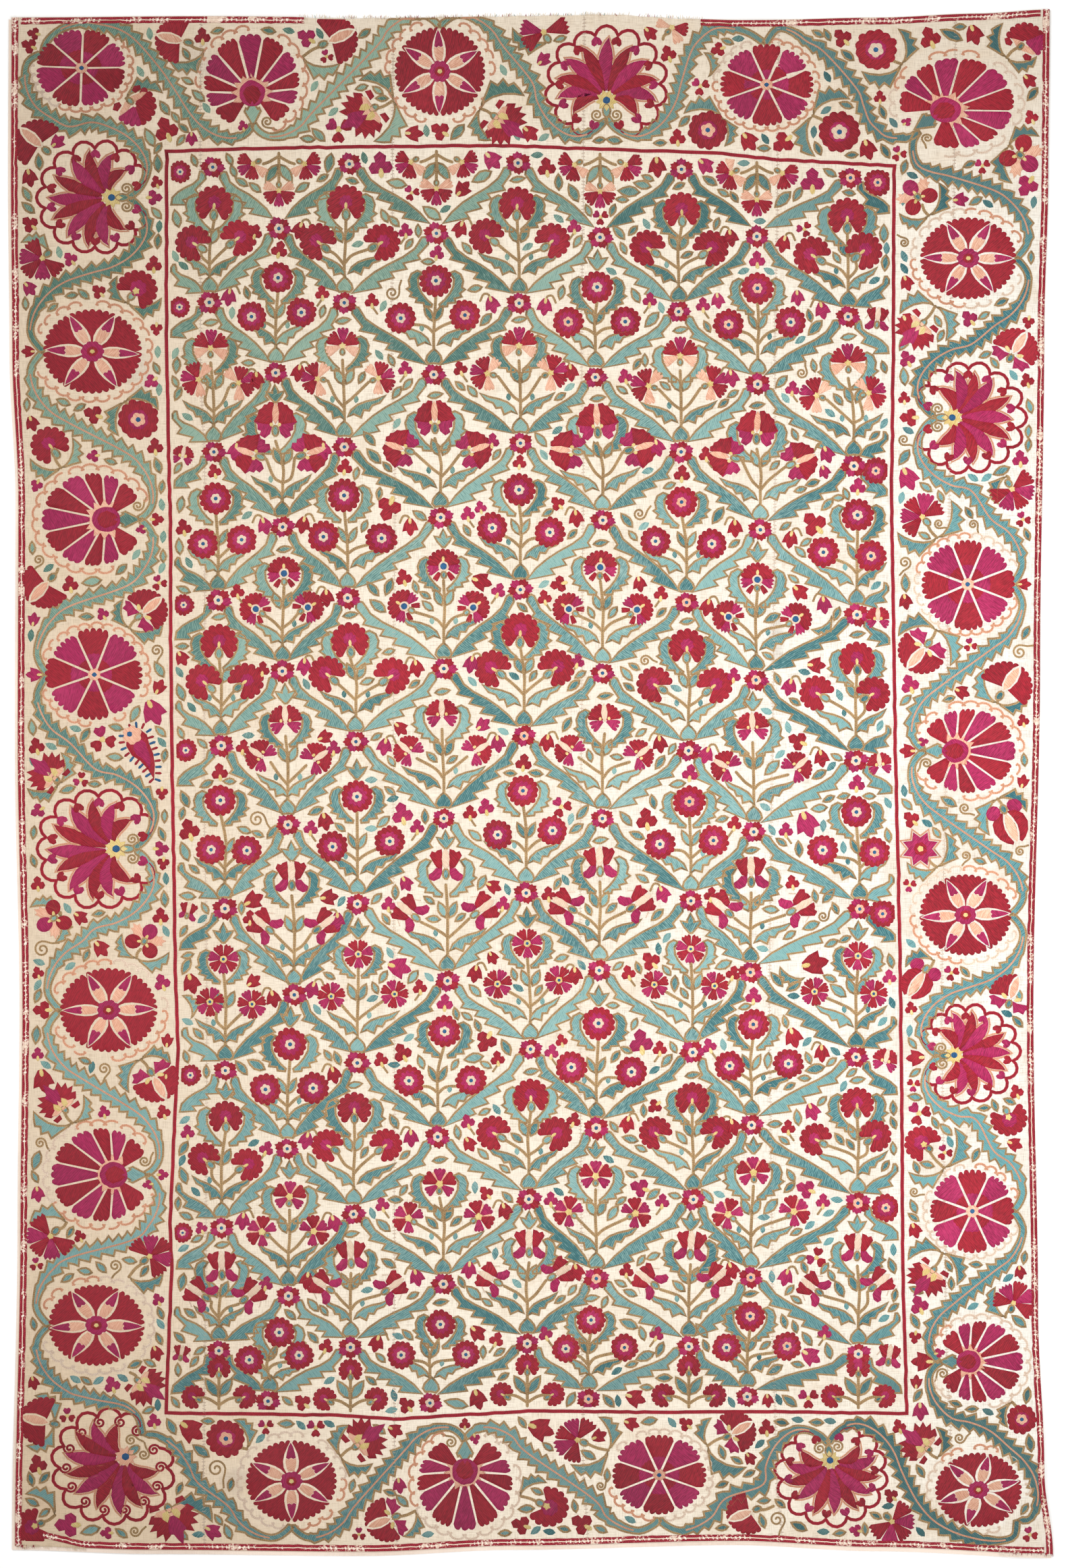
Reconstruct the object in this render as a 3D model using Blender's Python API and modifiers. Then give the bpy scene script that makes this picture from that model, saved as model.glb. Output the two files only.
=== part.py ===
"""A flower-trellis suzani lying face up on a flat surface.

Six loom-width strips of hand-woven cotton are sewn edge to edge. A lining lies under them and shows a
little past the left and bottom edges, and a narrow two-cord braid is sewn on top along the edges, apart
from the middle of the top, where it has worn away. +Z is up, +Y points to the cloth's top edge, and the
origin is on the surface under the middle of the cloth. The silk embroidery has no solid of its own.

Places on the cloth are charted in steps of 1.1 mm, across from the left and down from the top. Heights
and thicknesses are in millimetres.
"""

import math

import bmesh
import bpy
from mathutils import Vector

MM = 0.001
STEP = 1.1 * MM
CENTRE_ACROSS = 786.5
CENTRE_DOWN = 1161.5

# The outline of the face cloth, as uneven as the old one's: (place along the edge, place of the edge).
LEFT_EDGE = ((26, 17), (260, 16), (520, 18), (740, 27), (1100, 26), (1500, 33), (1820, 30), (2291, 22))
RIGHT_EDGE = (
    (14, 1556),
    (260, 1554),
    (500, 1548),
    (980, 1542),
    (1500, 1532),
    (1940, 1539),
    (2180, 1548),
    (2303, 1561),
)
TOP_EDGE = ((17, 26), (290, 24), (560, 26), (880, 21), (1110, 30), (1300, 26), (1450, 20), (1556, 14))
BOTTOM_EDGE = ((22, 2291), (220, 2297), (540, 2300), (760, 2291), (1090, 2284), (1300, 2293), (1561, 2303))

# Seams between the strips, and the gap that each one keeps.
SEAMS = (298, 583, 866, 1154, 1416)
SEAM_GAP = 0.5

# Layers, from the surface up, in millimetres.
LINING_THICK = 1.0
STRIP_THICK = 1.2
LAYER_GAP = 0.35
BRAID_GAP = 0.45
BRAID_BASE = LINING_THICK + LAYER_GAP + STRIP_THICK + BRAID_GAP

# How far the lining shows past the face cloth, and how far it is tucked in where it doesn't.
LINING_SHOWS_LEFT = 4.0
LINING_SHOWS_BOTTOM = 6.0
LINING_TUCKED_IN = 3.0

# The braid: two cords with a groove between them. Each station is a share of its width and a rise.
BRAID_WIDE = 9.0
BRAID_THICK = 1.0
BRAID_INSET = 0.8
BRAID_STATIONS = ((0.0, 0.0), (0.26, 0.8), (0.5, 0.1), (0.74, 0.8), (1.0, 0.0))
CORNER_GAP = 2.0
TOP_BRAID_ENDS = 452
TOP_BRAID_RESUMES = 1036

# The bottom braid starts late, and its first stretch has come unsewn and lies turned in.
BOTTOM_BRAID_STARTS = 57
LOOSE_LONG = 60.0
LOOSE_IN = 12.0

# The spacing of the mesh, and a narrow band along the edges.
CELL_ACROSS = 58.0
CELL_DOWN = 66.0
EDGE_BAND = 11.0

# Soft folds left in the cloth, with the turn in degrees from the across direction.
FOLDS = (
    # across, down, turn, long, half width, high in mm
    (268, 590, 90, 420, 50, 5.5),
    (398, 58, 16, 200, 44, 5.0),
    (1172, 112, -50, 210, 46, 6.0),
    (1096, 62, 20, 120, 40, 4.0),
    (1484, 1560, 88, 260, 44, 6.0),
    (1143, 960, 86, 230, 44, 4.5),
    (1524, 2200, 84, 230, 42, 6.5),
    (1462, 2084, -20, 180, 40, 4.5),
    (338, 2210, 24, 220, 44, 4.5),
    (104, 2120, 60, 220, 46, 4.5),
)
FOLD_FLOOR = 0.5

# The cotton is duller at the left and more stained at the right.
STRIP_COLOURS = (
    (0.66, 0.55, 0.42),
    (0.73, 0.62, 0.48),
    (0.80, 0.71, 0.57),
    (0.82, 0.73, 0.59),
    (0.83, 0.74, 0.60),
    (0.83, 0.73, 0.58),
)
PALE_PINK = (0.72, 0.58, 0.50)
CRIMSON = (0.36, 0.02, 0.04)


def along_edge(stations, place):
    """Where an edge is at a place along it, on a smooth line through its (place, edge) stations."""
    if place <= stations[0][0]:
        return stations[0][1]
    for (start, low), (end, high) in zip(stations, stations[1:]):
        if place <= end:
            share = (place - start) / (end - start)
            return low + (high - low) * share * share * (3 - 2 * share)
    return stations[-1][1]


def on_cloth(u, v):
    """The chart place at a share u of the cloth's width and v of its length, between the four edges."""
    (left, top_left), (right, top_right) = TOP_EDGE[0], TOP_EDGE[-1]
    (bottom_left, low_left), (bottom_right, low_right) = BOTTOM_EDGE[0], BOTTOM_EDGE[-1]
    across_top = left + (right - left) * u
    across_bottom = bottom_left + (bottom_right - bottom_left) * u
    down_left = top_left + (low_left - top_left) * v
    down_right = top_right + (low_right - top_right) * v
    bow_left = along_edge(LEFT_EDGE, down_left) - (left * (1 - v) + bottom_left * v)
    bow_right = along_edge(RIGHT_EDGE, down_right) - (right * (1 - v) + bottom_right * v)
    bow_top = along_edge(TOP_EDGE, across_top) - (top_left * (1 - u) + top_right * u)
    bow_bottom = along_edge(BOTTOM_EDGE, across_bottom) - (low_left * (1 - u) + low_right * u)
    across = across_top * (1 - v) + across_bottom * v + bow_left * (1 - u) + bow_right * u
    down = down_left * (1 - u) + down_right * u + bow_top * (1 - v) + bow_bottom * v
    return across, down


def fold_height(across, down):
    """How far the folds lift the cloth at a chart place, in millimetres."""
    height = 0.0
    for mid_across, mid_down, turn, long, half_width, high in FOLDS:
        angle = math.radians(turn)
        off_across, off_up = across - mid_across, mid_down - down
        along = off_across * math.cos(angle) + off_up * math.sin(angle)
        aside = off_up * math.cos(angle) - off_across * math.sin(angle)
        height += high * math.exp(-((aside / half_width) ** 2) - (2 * along / long) ** 4)
    return max(0.0, height - FOLD_FLOOR)


def in_space(across, down, height):
    """A chart place and a height in millimetres as a point in metres."""
    return ((across - CENTRE_ACROSS) * STEP, (CENTRE_DOWN - down) * STEP, height * MM)


def evenly(start, end, step):
    """Places from start to end, about a step apart."""
    count = max(1, round((end - start) / step))
    return [start + (end - start) * i / count for i in range(count + 1)]


def share_across(place):
    """A place across the chart as a share of the cloth's width."""
    return (place - TOP_EDGE[0][0]) / WIDTH


WIDTH = TOP_EDGE[-1][0] - TOP_EDGE[0][0]
LENGTH = BOTTOM_EDGE[0][1] - TOP_EDGE[0][1]
STRIP_ENDS = [0.0] + [share_across(seam) for seam in SEAMS] + [1.0]
ROWS = [0.0] + evenly(EDGE_BAND / LENGTH, 1 - EDGE_BAND / LENGTH, CELL_DOWN / LENGTH) + [1.0]


def strip_columns(index):
    """The shares across at which a strip's mesh has its columns, with a band at the cloth's own edge."""
    start, end = STRIP_ENDS[index], STRIP_ENDS[index + 1]
    first, last = index == 0, index == len(STRIP_ENDS) - 2
    inner_start = start + EDGE_BAND / WIDTH if first else start
    inner_end = end - EDGE_BAND / WIDTH if last else end
    columns = evenly(inner_start, inner_end, CELL_ACROSS / WIDTH)
    return ([start] if first else []) + columns + ([end] if last else [])


def fabric(name, colour, roughness):
    """A plain cloth material."""
    material = bpy.data.materials.new(name)
    material.use_nodes = True
    shader = material.node_tree.nodes["Principled BSDF"]
    shader.inputs["Base Color"].default_value = (*colour, 1.0)
    shader.inputs["Roughness"].default_value = roughness
    shader.inputs["Metallic"].default_value = 0.0
    return material


def laid_sheet(name, columns, rows, under, thick, colour, roughness, parent):
    """A sheet with its underside laid out by under(column, row), which gives across, down and height,
    and its thickness by Solidify. Its object's origin is at its first corner."""
    origin = Vector(in_space(*under(columns[0], rows[0])))
    grid = bmesh.new()
    wide, tall = len(columns) - 1, len(rows) - 1
    bmesh.ops.create_grid(grid, x_segments=wide, y_segments=tall, size=0.5)
    for vertex in grid.verts:
        column = columns[round((vertex.co.x + 0.5) * wide)]
        row = rows[round((0.5 - vertex.co.y) * tall)]
        vertex.co = Vector(in_space(*under(column, row))) - origin
    mesh = bpy.data.meshes.new(name)
    grid.to_mesh(mesh)
    grid.free()
    mesh.materials.append(fabric(name, colour, roughness))
    mesh.shade_smooth()
    sheet = bpy.data.objects.new(name, mesh)
    sheet.location = origin
    sheet.parent = parent
    parent.users_collection[0].objects.link(sheet)
    triangles = sheet.modifiers.new("triangles", "TRIANGULATE")
    triangles.quad_method = "FIXED"
    solidify = sheet.modifiers.new("thickness", "SOLIDIFY")
    solidify.thickness = thick * MM
    solidify.offset = 1.0
    return sheet


def all_columns():
    """The columns of all the strips, each seam's once."""
    columns = []
    for index in range(len(SEAMS) + 1):
        columns += [c for c in strip_columns(index) if not columns or c > columns[-1] + 1e-6]
    return columns


def lining(parent):
    """The lining: one sheet under all the strips, past the face at the left and the bottom."""

    def under(u, v):
        across, down = on_cloth(u, v)
        height = fold_height(across, down)
        across -= {0.0: LINING_SHOWS_LEFT, 1.0: LINING_TUCKED_IN}.get(u, 0.0)
        down += {0.0: LINING_TUCKED_IN, 1.0: LINING_SHOWS_BOTTOM}.get(v, 0.0)
        return across, down, height

    laid_sheet("lining", all_columns(), ROWS, under, LINING_THICK, PALE_PINK, 0.9, parent)


def strip(index, parent):
    """One loom-width strip of the face cloth."""
    first, last = STRIP_ENDS[index], STRIP_ENDS[index + 1]

    def under(u, v):
        across, down = on_cloth(u, v)
        height = LINING_THICK + LAYER_GAP + fold_height(across, down)
        if u == first and index > 0:
            across += SEAM_GAP / 2
        if u == last and index < len(SEAMS):
            across -= SEAM_GAP / 2
        return across, down, height

    name = f"strip_{index + 1}"
    laid_sheet(name, strip_columns(index), ROWS, under, STRIP_THICK, STRIP_COLOURS[index], 0.9, parent)


def side_braid(name, edge, parent):
    """The braid down the left edge, where edge is 0, or the right edge, where it is 1."""
    inward = 1 - 2 * edge

    def under(station, v):
        across, down = on_cloth(edge, v)
        across += inward * (BRAID_INSET + station[0] * BRAID_WIDE)
        down += {0.0: BRAID_INSET, 1.0: -BRAID_INSET}.get(v, 0.0)
        return across, down, BRAID_BASE + station[1] + fold_height(across, down)

    laid_sheet(name, BRAID_STATIONS[::inward], ROWS, under, BRAID_THICK, CRIMSON, 0.7, parent)


def end_braid(name, edge, start, end, parent):
    """The braid along the top edge, where edge is 0, or the bottom edge, from start to end across."""
    inward = 1 - 2 * edge
    first, last = share_across(start), share_across(end)
    columns = [first] + [c for c in all_columns() if first + 0.002 < c < last - 0.002] + [last]

    def under(u, station):
        across, down = on_cloth(u, edge)
        loose = max(0.0, 1 - (across - start) / LOOSE_LONG) if edge else 0.0
        down += inward * (BRAID_INSET + station[0] * BRAID_WIDE + LOOSE_IN * loose)
        return across, down, BRAID_BASE + station[1] + fold_height(across, down)

    laid_sheet(name, columns, BRAID_STATIONS[::inward], under, BRAID_THICK, CRIMSON, 0.7, parent)


def main():
    for old in list(bpy.data.objects):
        bpy.data.objects.remove(old)
    parts = bpy.data.collections.new("suzani")
    bpy.context.scene.collection.children.link(parts)
    cloth = bpy.data.objects.new("cloth", None)
    parts.objects.link(cloth)

    lining(cloth)
    for index in range(len(SEAMS) + 1):
        strip(index, cloth)

    corner = BRAID_INSET + BRAID_WIDE + CORNER_GAP
    past_left = TOP_EDGE[0][0] + corner
    before_right = TOP_EDGE[-1][0] - corner
    side_braid("braid_left", 0, cloth)
    side_braid("braid_right", 1, cloth)
    end_braid("braid_top_left", 0, past_left, TOP_BRAID_ENDS, cloth)
    end_braid("braid_top_right", 0, TOP_BRAID_RESUMES, before_right, cloth)
    end_braid("braid_bottom", 1, BOTTOM_BRAID_STARTS, before_right, cloth)


main()
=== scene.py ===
"""Looks of a flower-trellis suzani lying face up: silk couching on six strips of hand-woven cotton."""

import math
import random

import bpy
import numpy as np
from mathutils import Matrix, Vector
from mathutils.geometry import delaunay_2d_cdt


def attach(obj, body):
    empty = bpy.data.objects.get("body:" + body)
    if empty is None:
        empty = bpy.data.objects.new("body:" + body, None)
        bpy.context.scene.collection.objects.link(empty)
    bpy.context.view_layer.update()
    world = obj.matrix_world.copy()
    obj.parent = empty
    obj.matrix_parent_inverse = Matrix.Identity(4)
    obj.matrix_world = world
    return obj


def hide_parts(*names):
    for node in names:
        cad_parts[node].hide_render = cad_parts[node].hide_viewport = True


# The ground cloth. Six loom-width strips of hand-spun cotton are sewn edge to edge, and lie a little
# uneven. Places on it are charted in steps of 1.1 mm as complex numbers, across from the left and up
# from the top edge, so that a turn is a product. Heights are in millimetres.
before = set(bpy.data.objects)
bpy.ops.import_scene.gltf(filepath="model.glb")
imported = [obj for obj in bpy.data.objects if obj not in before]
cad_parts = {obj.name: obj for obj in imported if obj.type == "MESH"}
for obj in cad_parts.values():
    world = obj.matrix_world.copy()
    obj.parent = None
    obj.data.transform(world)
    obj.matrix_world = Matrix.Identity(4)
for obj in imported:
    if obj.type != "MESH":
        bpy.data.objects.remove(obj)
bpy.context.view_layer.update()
bpy.ops.object.select_all(action="DESELECT")

MM = 0.001
STEP = 1.1 * MM
CHART_CENTRE = 786.5 - 1161.5j
# stations on each edge: the place along it, and where the edge stands there
LEFT_EDGE = ((26, 17), (260, 16), (520, 18), (740, 27), (1100, 26), (1500, 33), (1820, 30), (2291, 22))
RIGHT_EDGE = (
    (14, 1556), (260, 1554), (500, 1548), (980, 1542), (1500, 1532), (1940, 1539), (2180, 1548),
    (2303, 1561),
)
TOP_EDGE = ((17, 26), (290, 24), (560, 26), (880, 21), (1110, 30), (1300, 26), (1450, 20), (1556, 14))
BOTTOM_EDGE = ((22, 2291), (220, 2297), (540, 2300), (760, 2291), (1090, 2284), (1300, 2293), (1561, 2303))
SEAMS = (298, 583, 866, 1154, 1416)
SEAM_GAP = 0.5
RAW_TOP = (444, 1046)
LINING_THICK = 1.0
STRIP_THICK = 1.0
STRIP_BASE = 1.45
FACE = STRIP_BASE + STRIP_THICK
CLOTH_CELL = 11.5
FOLDS = (
    # across, down, turn, long, half width, high in mm
    (268, 590, 90, 420, 50, 5.5),
    (398, 58, 16, 200, 44, 5.0),
    (1172, 112, -50, 210, 46, 6.0),
    (1096, 62, 20, 120, 40, 4.0),
    (1484, 1560, 88, 260, 44, 6.0),
    (1143, 960, 86, 230, 44, 4.5),
    (1524, 2200, 84, 230, 42, 6.5),
    (1462, 2084, -20, 180, 40, 4.5),
    (338, 2210, 24, 220, 44, 4.5),
    (104, 2120, 60, 220, 46, 4.5),
)
FOLD_FLOOR = 0.5


def smooth_line(stations, place):
    """The value at a place, or an array of places, on a smooth line through (place, value) stations."""
    places, values = np.array(stations, float).T
    place = np.clip(place, places[0], places[-1])
    index = np.clip(np.searchsorted(places, place, side="right") - 1, 0, len(places) - 2)
    share = (place - places[index]) / (places[index + 1] - places[index])
    return values[index] + (values[index + 1] - values[index]) * share**2 * (3 - 2 * share)


def bearing(way):
    """The angle of a way in degrees."""
    return math.degrees(np.angle(way))


def run_along(line):
    """How far along a line each of its points is."""
    return np.append(0, np.cumsum(np.abs(np.diff(line))))


def ray(degrees):
    """One step in a direction, anticlockwise from across."""
    return np.exp(1j * np.radians(degrees))


def edge_place(edge, share, upright):
    """The chart place at a share of an edge's stations."""
    place = edge[0][0] + (edge[-1][0] - edge[0][0]) * share
    other = smooth_line(edge, place)
    return other - 1j * place if upright else place - 1j * other


def on_cloth(u, v):
    """The chart place at a share u of the cloth's width and v of its length."""
    place = 0
    pairs = (1 - v, TOP_EDGE, LEFT_EDGE, 1 - u), (v, BOTTOM_EDGE, RIGHT_EDGE, u)
    for share, level, upright, end in pairs:
        (left, left_down), (right, right_down) = level[0], level[-1]
        corners = (1 - u) * complex(left, -left_down) + u * complex(right, -right_down)
        place = place + share * (edge_place(level, u, False) - corners) + end * edge_place(upright, v, True)
    return place


def cloth_rise(place):
    """How far folds and ripples lift the cloth at chart places, in millimetres."""
    rise = -FOLD_FLOOR
    for across, down, turn, long, half_width, high in FOLDS:
        off = (place - complex(across, -down)) * ray(-turn)
        rise = rise + high * np.exp(-((off.imag / half_width) ** 2) - (2 * off.real / long) ** 4)
    across, down = place.real, -place.imag
    ripple = 0.5 + 0.25 * np.sin(across / 31 + 2 * np.sin(down / 170)) * np.sin(down / 47 + across / 90)
    ripple += 0.25 * np.sin(across / 67 + 1.3) * np.sin(down / 83 + 2 * np.sin(across / 210))
    return np.maximum(0.0, rise) + 0.8 * ripple


def in_space(place, height):
    """Chart places with heights in millimetres as an array of points in metres."""
    off = (np.asarray(place) - CHART_CENTRE) * STEP
    return np.stack([off.real, off.imag, np.asarray(height) * MM], axis=-1)


class Sock:
    """A shader socket that takes arithmetic."""

    def __init__(self, finish, socket):
        self.finish, self.socket = finish, socket

    def maths(self, operation, *values):
        return self.finish.add("ShaderNodeMath", {"operation": operation}, *values)

    def __add__(self, other):
        return self.maths("ADD", self, other)

    def __sub__(self, other):
        return self.maths("SUBTRACT", self, other)

    def __rsub__(self, other):
        return self.maths("SUBTRACT", other, self)

    def __mul__(self, other):
        return self.maths("MULTIPLY", self, other)

    def __truediv__(self, other):
        return self.maths("DIVIDE", self, other)

    def sin(self):
        return self.maths("SINE", self)

    def size(self):
        return self.maths("ABSOLUTE", self)

    def between(self, low, high):
        """0 below low, 1 above high, smooth from one to the other."""
        return self.finish.add("ShaderNodeMapRange", {"interpolation_type": "SMOOTHSTEP"}, self, low, high)


class Finish:
    """A material's node tree, with one method that adds any node."""

    def __init__(self, name):
        self.material = bpy.data.materials.new(name)
        self.material.use_nodes = True
        self.tree = self.material.node_tree

    def plug(self, socket, value):
        """Links a socket or sets it; three numbers are a colour or a vector."""
        if isinstance(value, Sock):
            self.tree.links.new(value.socket, socket)
        else:
            socket.default_value = (*value, 1.0) if socket.type == "RGBA" else value

    def add(self, kind, settings, *inputs, output=0, **named):
        node = self.tree.nodes.new(kind)
        for key, value in settings.items():
            setattr(node, key, value)
        for key, value in (*enumerate(inputs), *named.items()):
            self.plug(node.inputs[key], value)
        return Sock(self, node.outputs[output])

    def place(self, source="Object"):
        return self.add("ShaderNodeTexCoord", {}, output=source)

    def parts(self, vector):
        """The first two parts of a vector."""
        first = self.add("ShaderNodeSeparateXYZ", {}, vector)
        return first, Sock(self, first.socket.node.outputs[1])

    def noise(self, vector, scale, detail=2.0, roughness=0.5):
        """Noise, stretched by a scale for each axis or by one for all."""
        if isinstance(scale, tuple):
            vector = self.add("ShaderNodeVectorMath", {"operation": "MULTIPLY"}, vector, scale)
            scale = 1.0
        named = {"Vector": vector, "Scale": scale, "Detail": detail, "Roughness": roughness}
        return self.add("ShaderNodeTexNoise", {}, **named)

    def mix(self, factor, low, high, blend="MIX"):
        """Colours mixed by a factor. Each is a socket or three numbers."""
        mixed = self.add("ShaderNodeMix", {"data_type": "RGBA", "blend_type": blend}, factor, output=2)
        for key, value in ((6, low), (7, high)):
            self.plug(mixed.socket.node.inputs[key], value)
        return mixed

    def done(self, colour, roughness, height=None, depth=0.0, **fixed):
        """The finished material; height is in units of depth metres."""
        fixed.update(Base_Color=colour, Roughness=roughness)
        if height is not None:
            fixed["Normal"] = self.add("ShaderNodeBump", {}, Strength=1.0, Distance=depth, Height=height)
        for name, value in fixed.items():
            self.plug(self.tree.nodes["Principled BSDF"].inputs[name.replace("_", " ")], value)
        return self.material


STAINS = (
    # across, down, half width, half length, colour
    (350, 2196, 34, 26, (0.44, 0.38, 0.33)),
    (1150, 950, 14, 52, (0.50, 0.45, 0.40)),
    (208, 560, 26, 60, (0.52, 0.47, 0.41)),
    (300, 90, 70, 40, (0.55, 0.49, 0.42)),
    (70, 2230, 60, 46, (0.62, 0.45, 0.30)),
    (1380, 2250, 60, 26, (0.60, 0.52, 0.42)),
    (120, 1420, 50, 60, (0.66, 0.51, 0.36)),
)


def cream_cotton():
    """Uneven yarns both ways, dull at the left and top, lighter at the right, stained at the bottom left, and
    whitened towards the right middle by a painted pool of light.
    """
    f = Finish("cream_cotton")
    place = f.place()
    x, y = f.parts(place)
    yarns = (f.noise(place, (1300.0, 55.0, 1.0)) + f.noise(place, (48.0, 1100.0, 1.0))) * 0.5
    blotch = f.noise(place, 2.1, 4.0, 0.6)
    small = f.noise(place, 19.0, 4.0, 0.6)
    # Lighter towards the right: the cloth's own duller tone at the left, and painted light at the right.
    bright = (x + 0.62 + blotch * 0.35).between(0.0, 0.62)
    top = (y + blotch * 0.25).between(1.0, 1.3)
    base = f.mix(bright, (0.73, 0.605, 0.46), (0.87, 0.80, 0.68))
    # Painted light: a pool of light whitens the cloth towards the right middle.
    base = f.mix((x * 1.1 + 0.25 - (y + 0.1).size() * 0.6).between(0.0, 0.8), base, (0.93, 0.925, 0.87))
    base = f.mix(top * 0.5, base, (0.74, 0.62, 0.48))
    stain = (small * 0.5 + blotch * 0.6).between(0.52, 0.72)
    base = f.mix(stain * 0.4, base, (0.70, 0.53, 0.35))
    corner = (0.0 - y - x * 0.6 + small * 0.3).between(1.15, 1.75)
    base = f.mix(corner * 0.5, base, (0.64, 0.47, 0.30))
    for across, down, wide, long, colour in STAINS:
        middle = (complex(across, -down) - CHART_CENTRE) * STEP
        aside, up = (x - middle.real) / (wide * STEP), (y - middle.imag) / (long * STEP)
        spot = 1.0 - (aside * aside + up * up + small * 1.6).between(0.7, 1.7)
        base = f.mix(spot * 0.5, base, colour)
    base = f.mix(yarns.between(0.33, 0.58) * 0.75, f.mix(0.6, base, (0.36, 0.26, 0.17)), base)
    weave = (x * 5200.0).sin() * (y * 5200.0).sin() * 0.3
    return f.done(base, 0.92, yarns + weave, 0.0005, Sheen_Weight=0.05, Specular_IOR_Level=0.2)


def new_piece(name, points, faces, material, uv=None):
    """An object at the origin from points, faces and a complex UV for each point."""
    mesh = bpy.data.meshes.new(name)
    mesh.from_pydata(points.tolist(), [], faces)
    if uv is not None:
        corners = np.empty(len(mesh.loops), np.int32)
        mesh.loops.foreach_get("vertex_index", corners)
        flat = np.stack([uv.real, uv.imag], axis=1)[corners].astype(np.float32)
        mesh.uv_layers.new(name="rows").data.foreach_set("uv", flat.ravel())
    mesh.materials.append(material)
    mesh.shade_smooth()
    piece = bpy.data.objects.new(name, mesh)
    bpy.context.scene.collection.objects.link(piece)
    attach(piece, "root")
    return piece


def closed_sheet(name, place, under, thick, material, uv=None):
    """A sheet closed all round, from grids of chart places, heights of its underside and thicknesses."""
    across, down = place[0, 1] - place[0, 0], place[1, 0] - place[0, 0]
    if (across.conjugate() * down).imag > 0:
        place, under, thick = place[:, ::-1], under[:, ::-1], (thick + 0 * under)[:, ::-1]
        uv = None if uv is None else uv[:, ::-1]
    count, (tall, wide) = place.size, place.shape
    points = np.concatenate([in_space(place, high).reshape(-1, 3) for high in (under, under + thick)])
    first = (np.arange(tall - 1)[:, None] * wide + np.arange(wide - 1)).ravel()
    low = np.stack([first, first + 1, first + wide + 1, first + wide], axis=1)
    high = np.stack([first, first + wide, first + wide + 1, first + 1], axis=1) + count
    grid = np.arange(count).reshape(tall, wide)
    rim = np.concatenate([grid[0], grid[1:, -1], grid[-1, -2::-1], grid[-2:0:-1, 0]])
    after = np.roll(rim, -1)
    sides = np.stack([rim, rim + count, after + count, after], axis=1)
    uv = None if uv is None else np.tile(uv.ravel(), 2)
    piece = new_piece(name, points, np.concatenate([low, high, sides]).tolist(), material, uv)
    piece.data.set_sharp_from_angle(angle=math.radians(50))
    return piece


def sheet_mesh(name, columns, rows, thick, base, material, edge):
    """A cloth sheet between shares of the width and length, on the cloth's rises."""
    u, v = np.meshgrid(columns, rows)
    place = edge(on_cloth(u, v), u, v)
    return closed_sheet(name, place, base + cloth_rise(on_cloth(u, v)), thick, material)


def shares(start, end, length):
    """Even shares from start to end, a cloth cell apart over that length."""
    return np.linspace(start, end, max(2, round((end - start) * length / CLOTH_CELL)) + 1)


WIDTH = TOP_EDGE[-1][0] - TOP_EDGE[0][0]
LENGTH = BOTTOM_EDGE[0][1] - TOP_EDGE[0][1]
STRIP_ENDS = [0.0, *((seam - TOP_EDGE[0][0]) / WIDTH for seam in SEAMS), 1.0]
ROWS = shares(0.0, 1.0, LENGTH)
cotton = cream_cotton()
for index in range(6):
    first, last = STRIP_ENDS[index], STRIP_ENDS[index + 1]

    def seam_gap(place, u, v):
        place = place + (u == first) * (index > 0) * SEAM_GAP / 2
        place = place - (u == last) * (index < 5) * SEAM_GAP / 2
        nibbled = (place.real > RAW_TOP[0]) & (place.real < RAW_TOP[1]) & (v == 0)
        return place - 1j * nibbled * (1.2 + 1.2 * np.sin(place.real * 0.9) * np.sin(place.real * 0.23))

    columns = shares(first, last, WIDTH)
    strip = sheet_mesh(f"cotton_strip_{index + 1}", columns, ROWS, STRIP_THICK, STRIP_BASE, cotton, seam_gap)
    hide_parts(f"strip_{index + 1}")
    (last - first) * WIDTH * STEP

# The lining, one sheet of plain cotton under the strips. It shows past the left and the bottom edge.
LINING_SHOWS_LEFT = 4.0
LINING_SHOWS_BOTTOM = 6.0
LINING_TUCKED_IN = 3.0


def pale_lining():
    f = Finish("pale_lining")
    place = f.place()
    yarns = f.noise(place, (60.0, 900.0, 1.0)) + f.noise(place, (900.0, 60.0, 1.0))
    base = f.mix(f.noise(place, 5.0, 4.0).between(0.35, 0.7), (0.62, 0.50, 0.42), (0.74, 0.62, 0.53))
    base = f.mix((yarns * 0.5).between(0.35, 0.65) * 0.4, base, (0.80, 0.70, 0.60))
    return f.done(base, 0.95, yarns, 0.0004, Sheen_Weight=0.1)


def past_the_face(place, u, v):
    place = place - (u == 0.0) * LINING_SHOWS_LEFT - (u == 1.0) * LINING_TUCKED_IN
    return place - 1j * ((v == 0.0) * LINING_TUCKED_IN + (v == 1.0) * LINING_SHOWS_BOTTOM)


columns, rows = shares(0.0, 1.0, WIDTH * 0.6), shares(0.0, 1.0, LENGTH * 0.6)
lining = sheet_mesh("cotton_lining", columns, rows, LINING_THICK, 0.0, pale_lining(), past_the_face)
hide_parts("lining")

# Silk couching. Every flower, leaf and stem is filled with floss laid close and tied down in slanting
# rows, so each fill stands a little proud of the cotton with a rounded edge. Stems and outlines are
# two rows of stitches side by side.
REDS = ("crimson", "magenta")
SILK_RISE = 0.5
FLOWER_RISE = 0.28
LEVEL_RISE = 0.2
CORD_RISE = 0.8
LINE_FOOT = 0.55
EDGE_ROUND = 0.75
INNER_CELL = 11.0
EDGE_ROOM = 7.0

fills = []
lines = []
everything = []
draw = random.Random(5)


def astray(far):
    """A random amount up to far either way."""
    return draw.uniform(-far, far)


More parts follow.
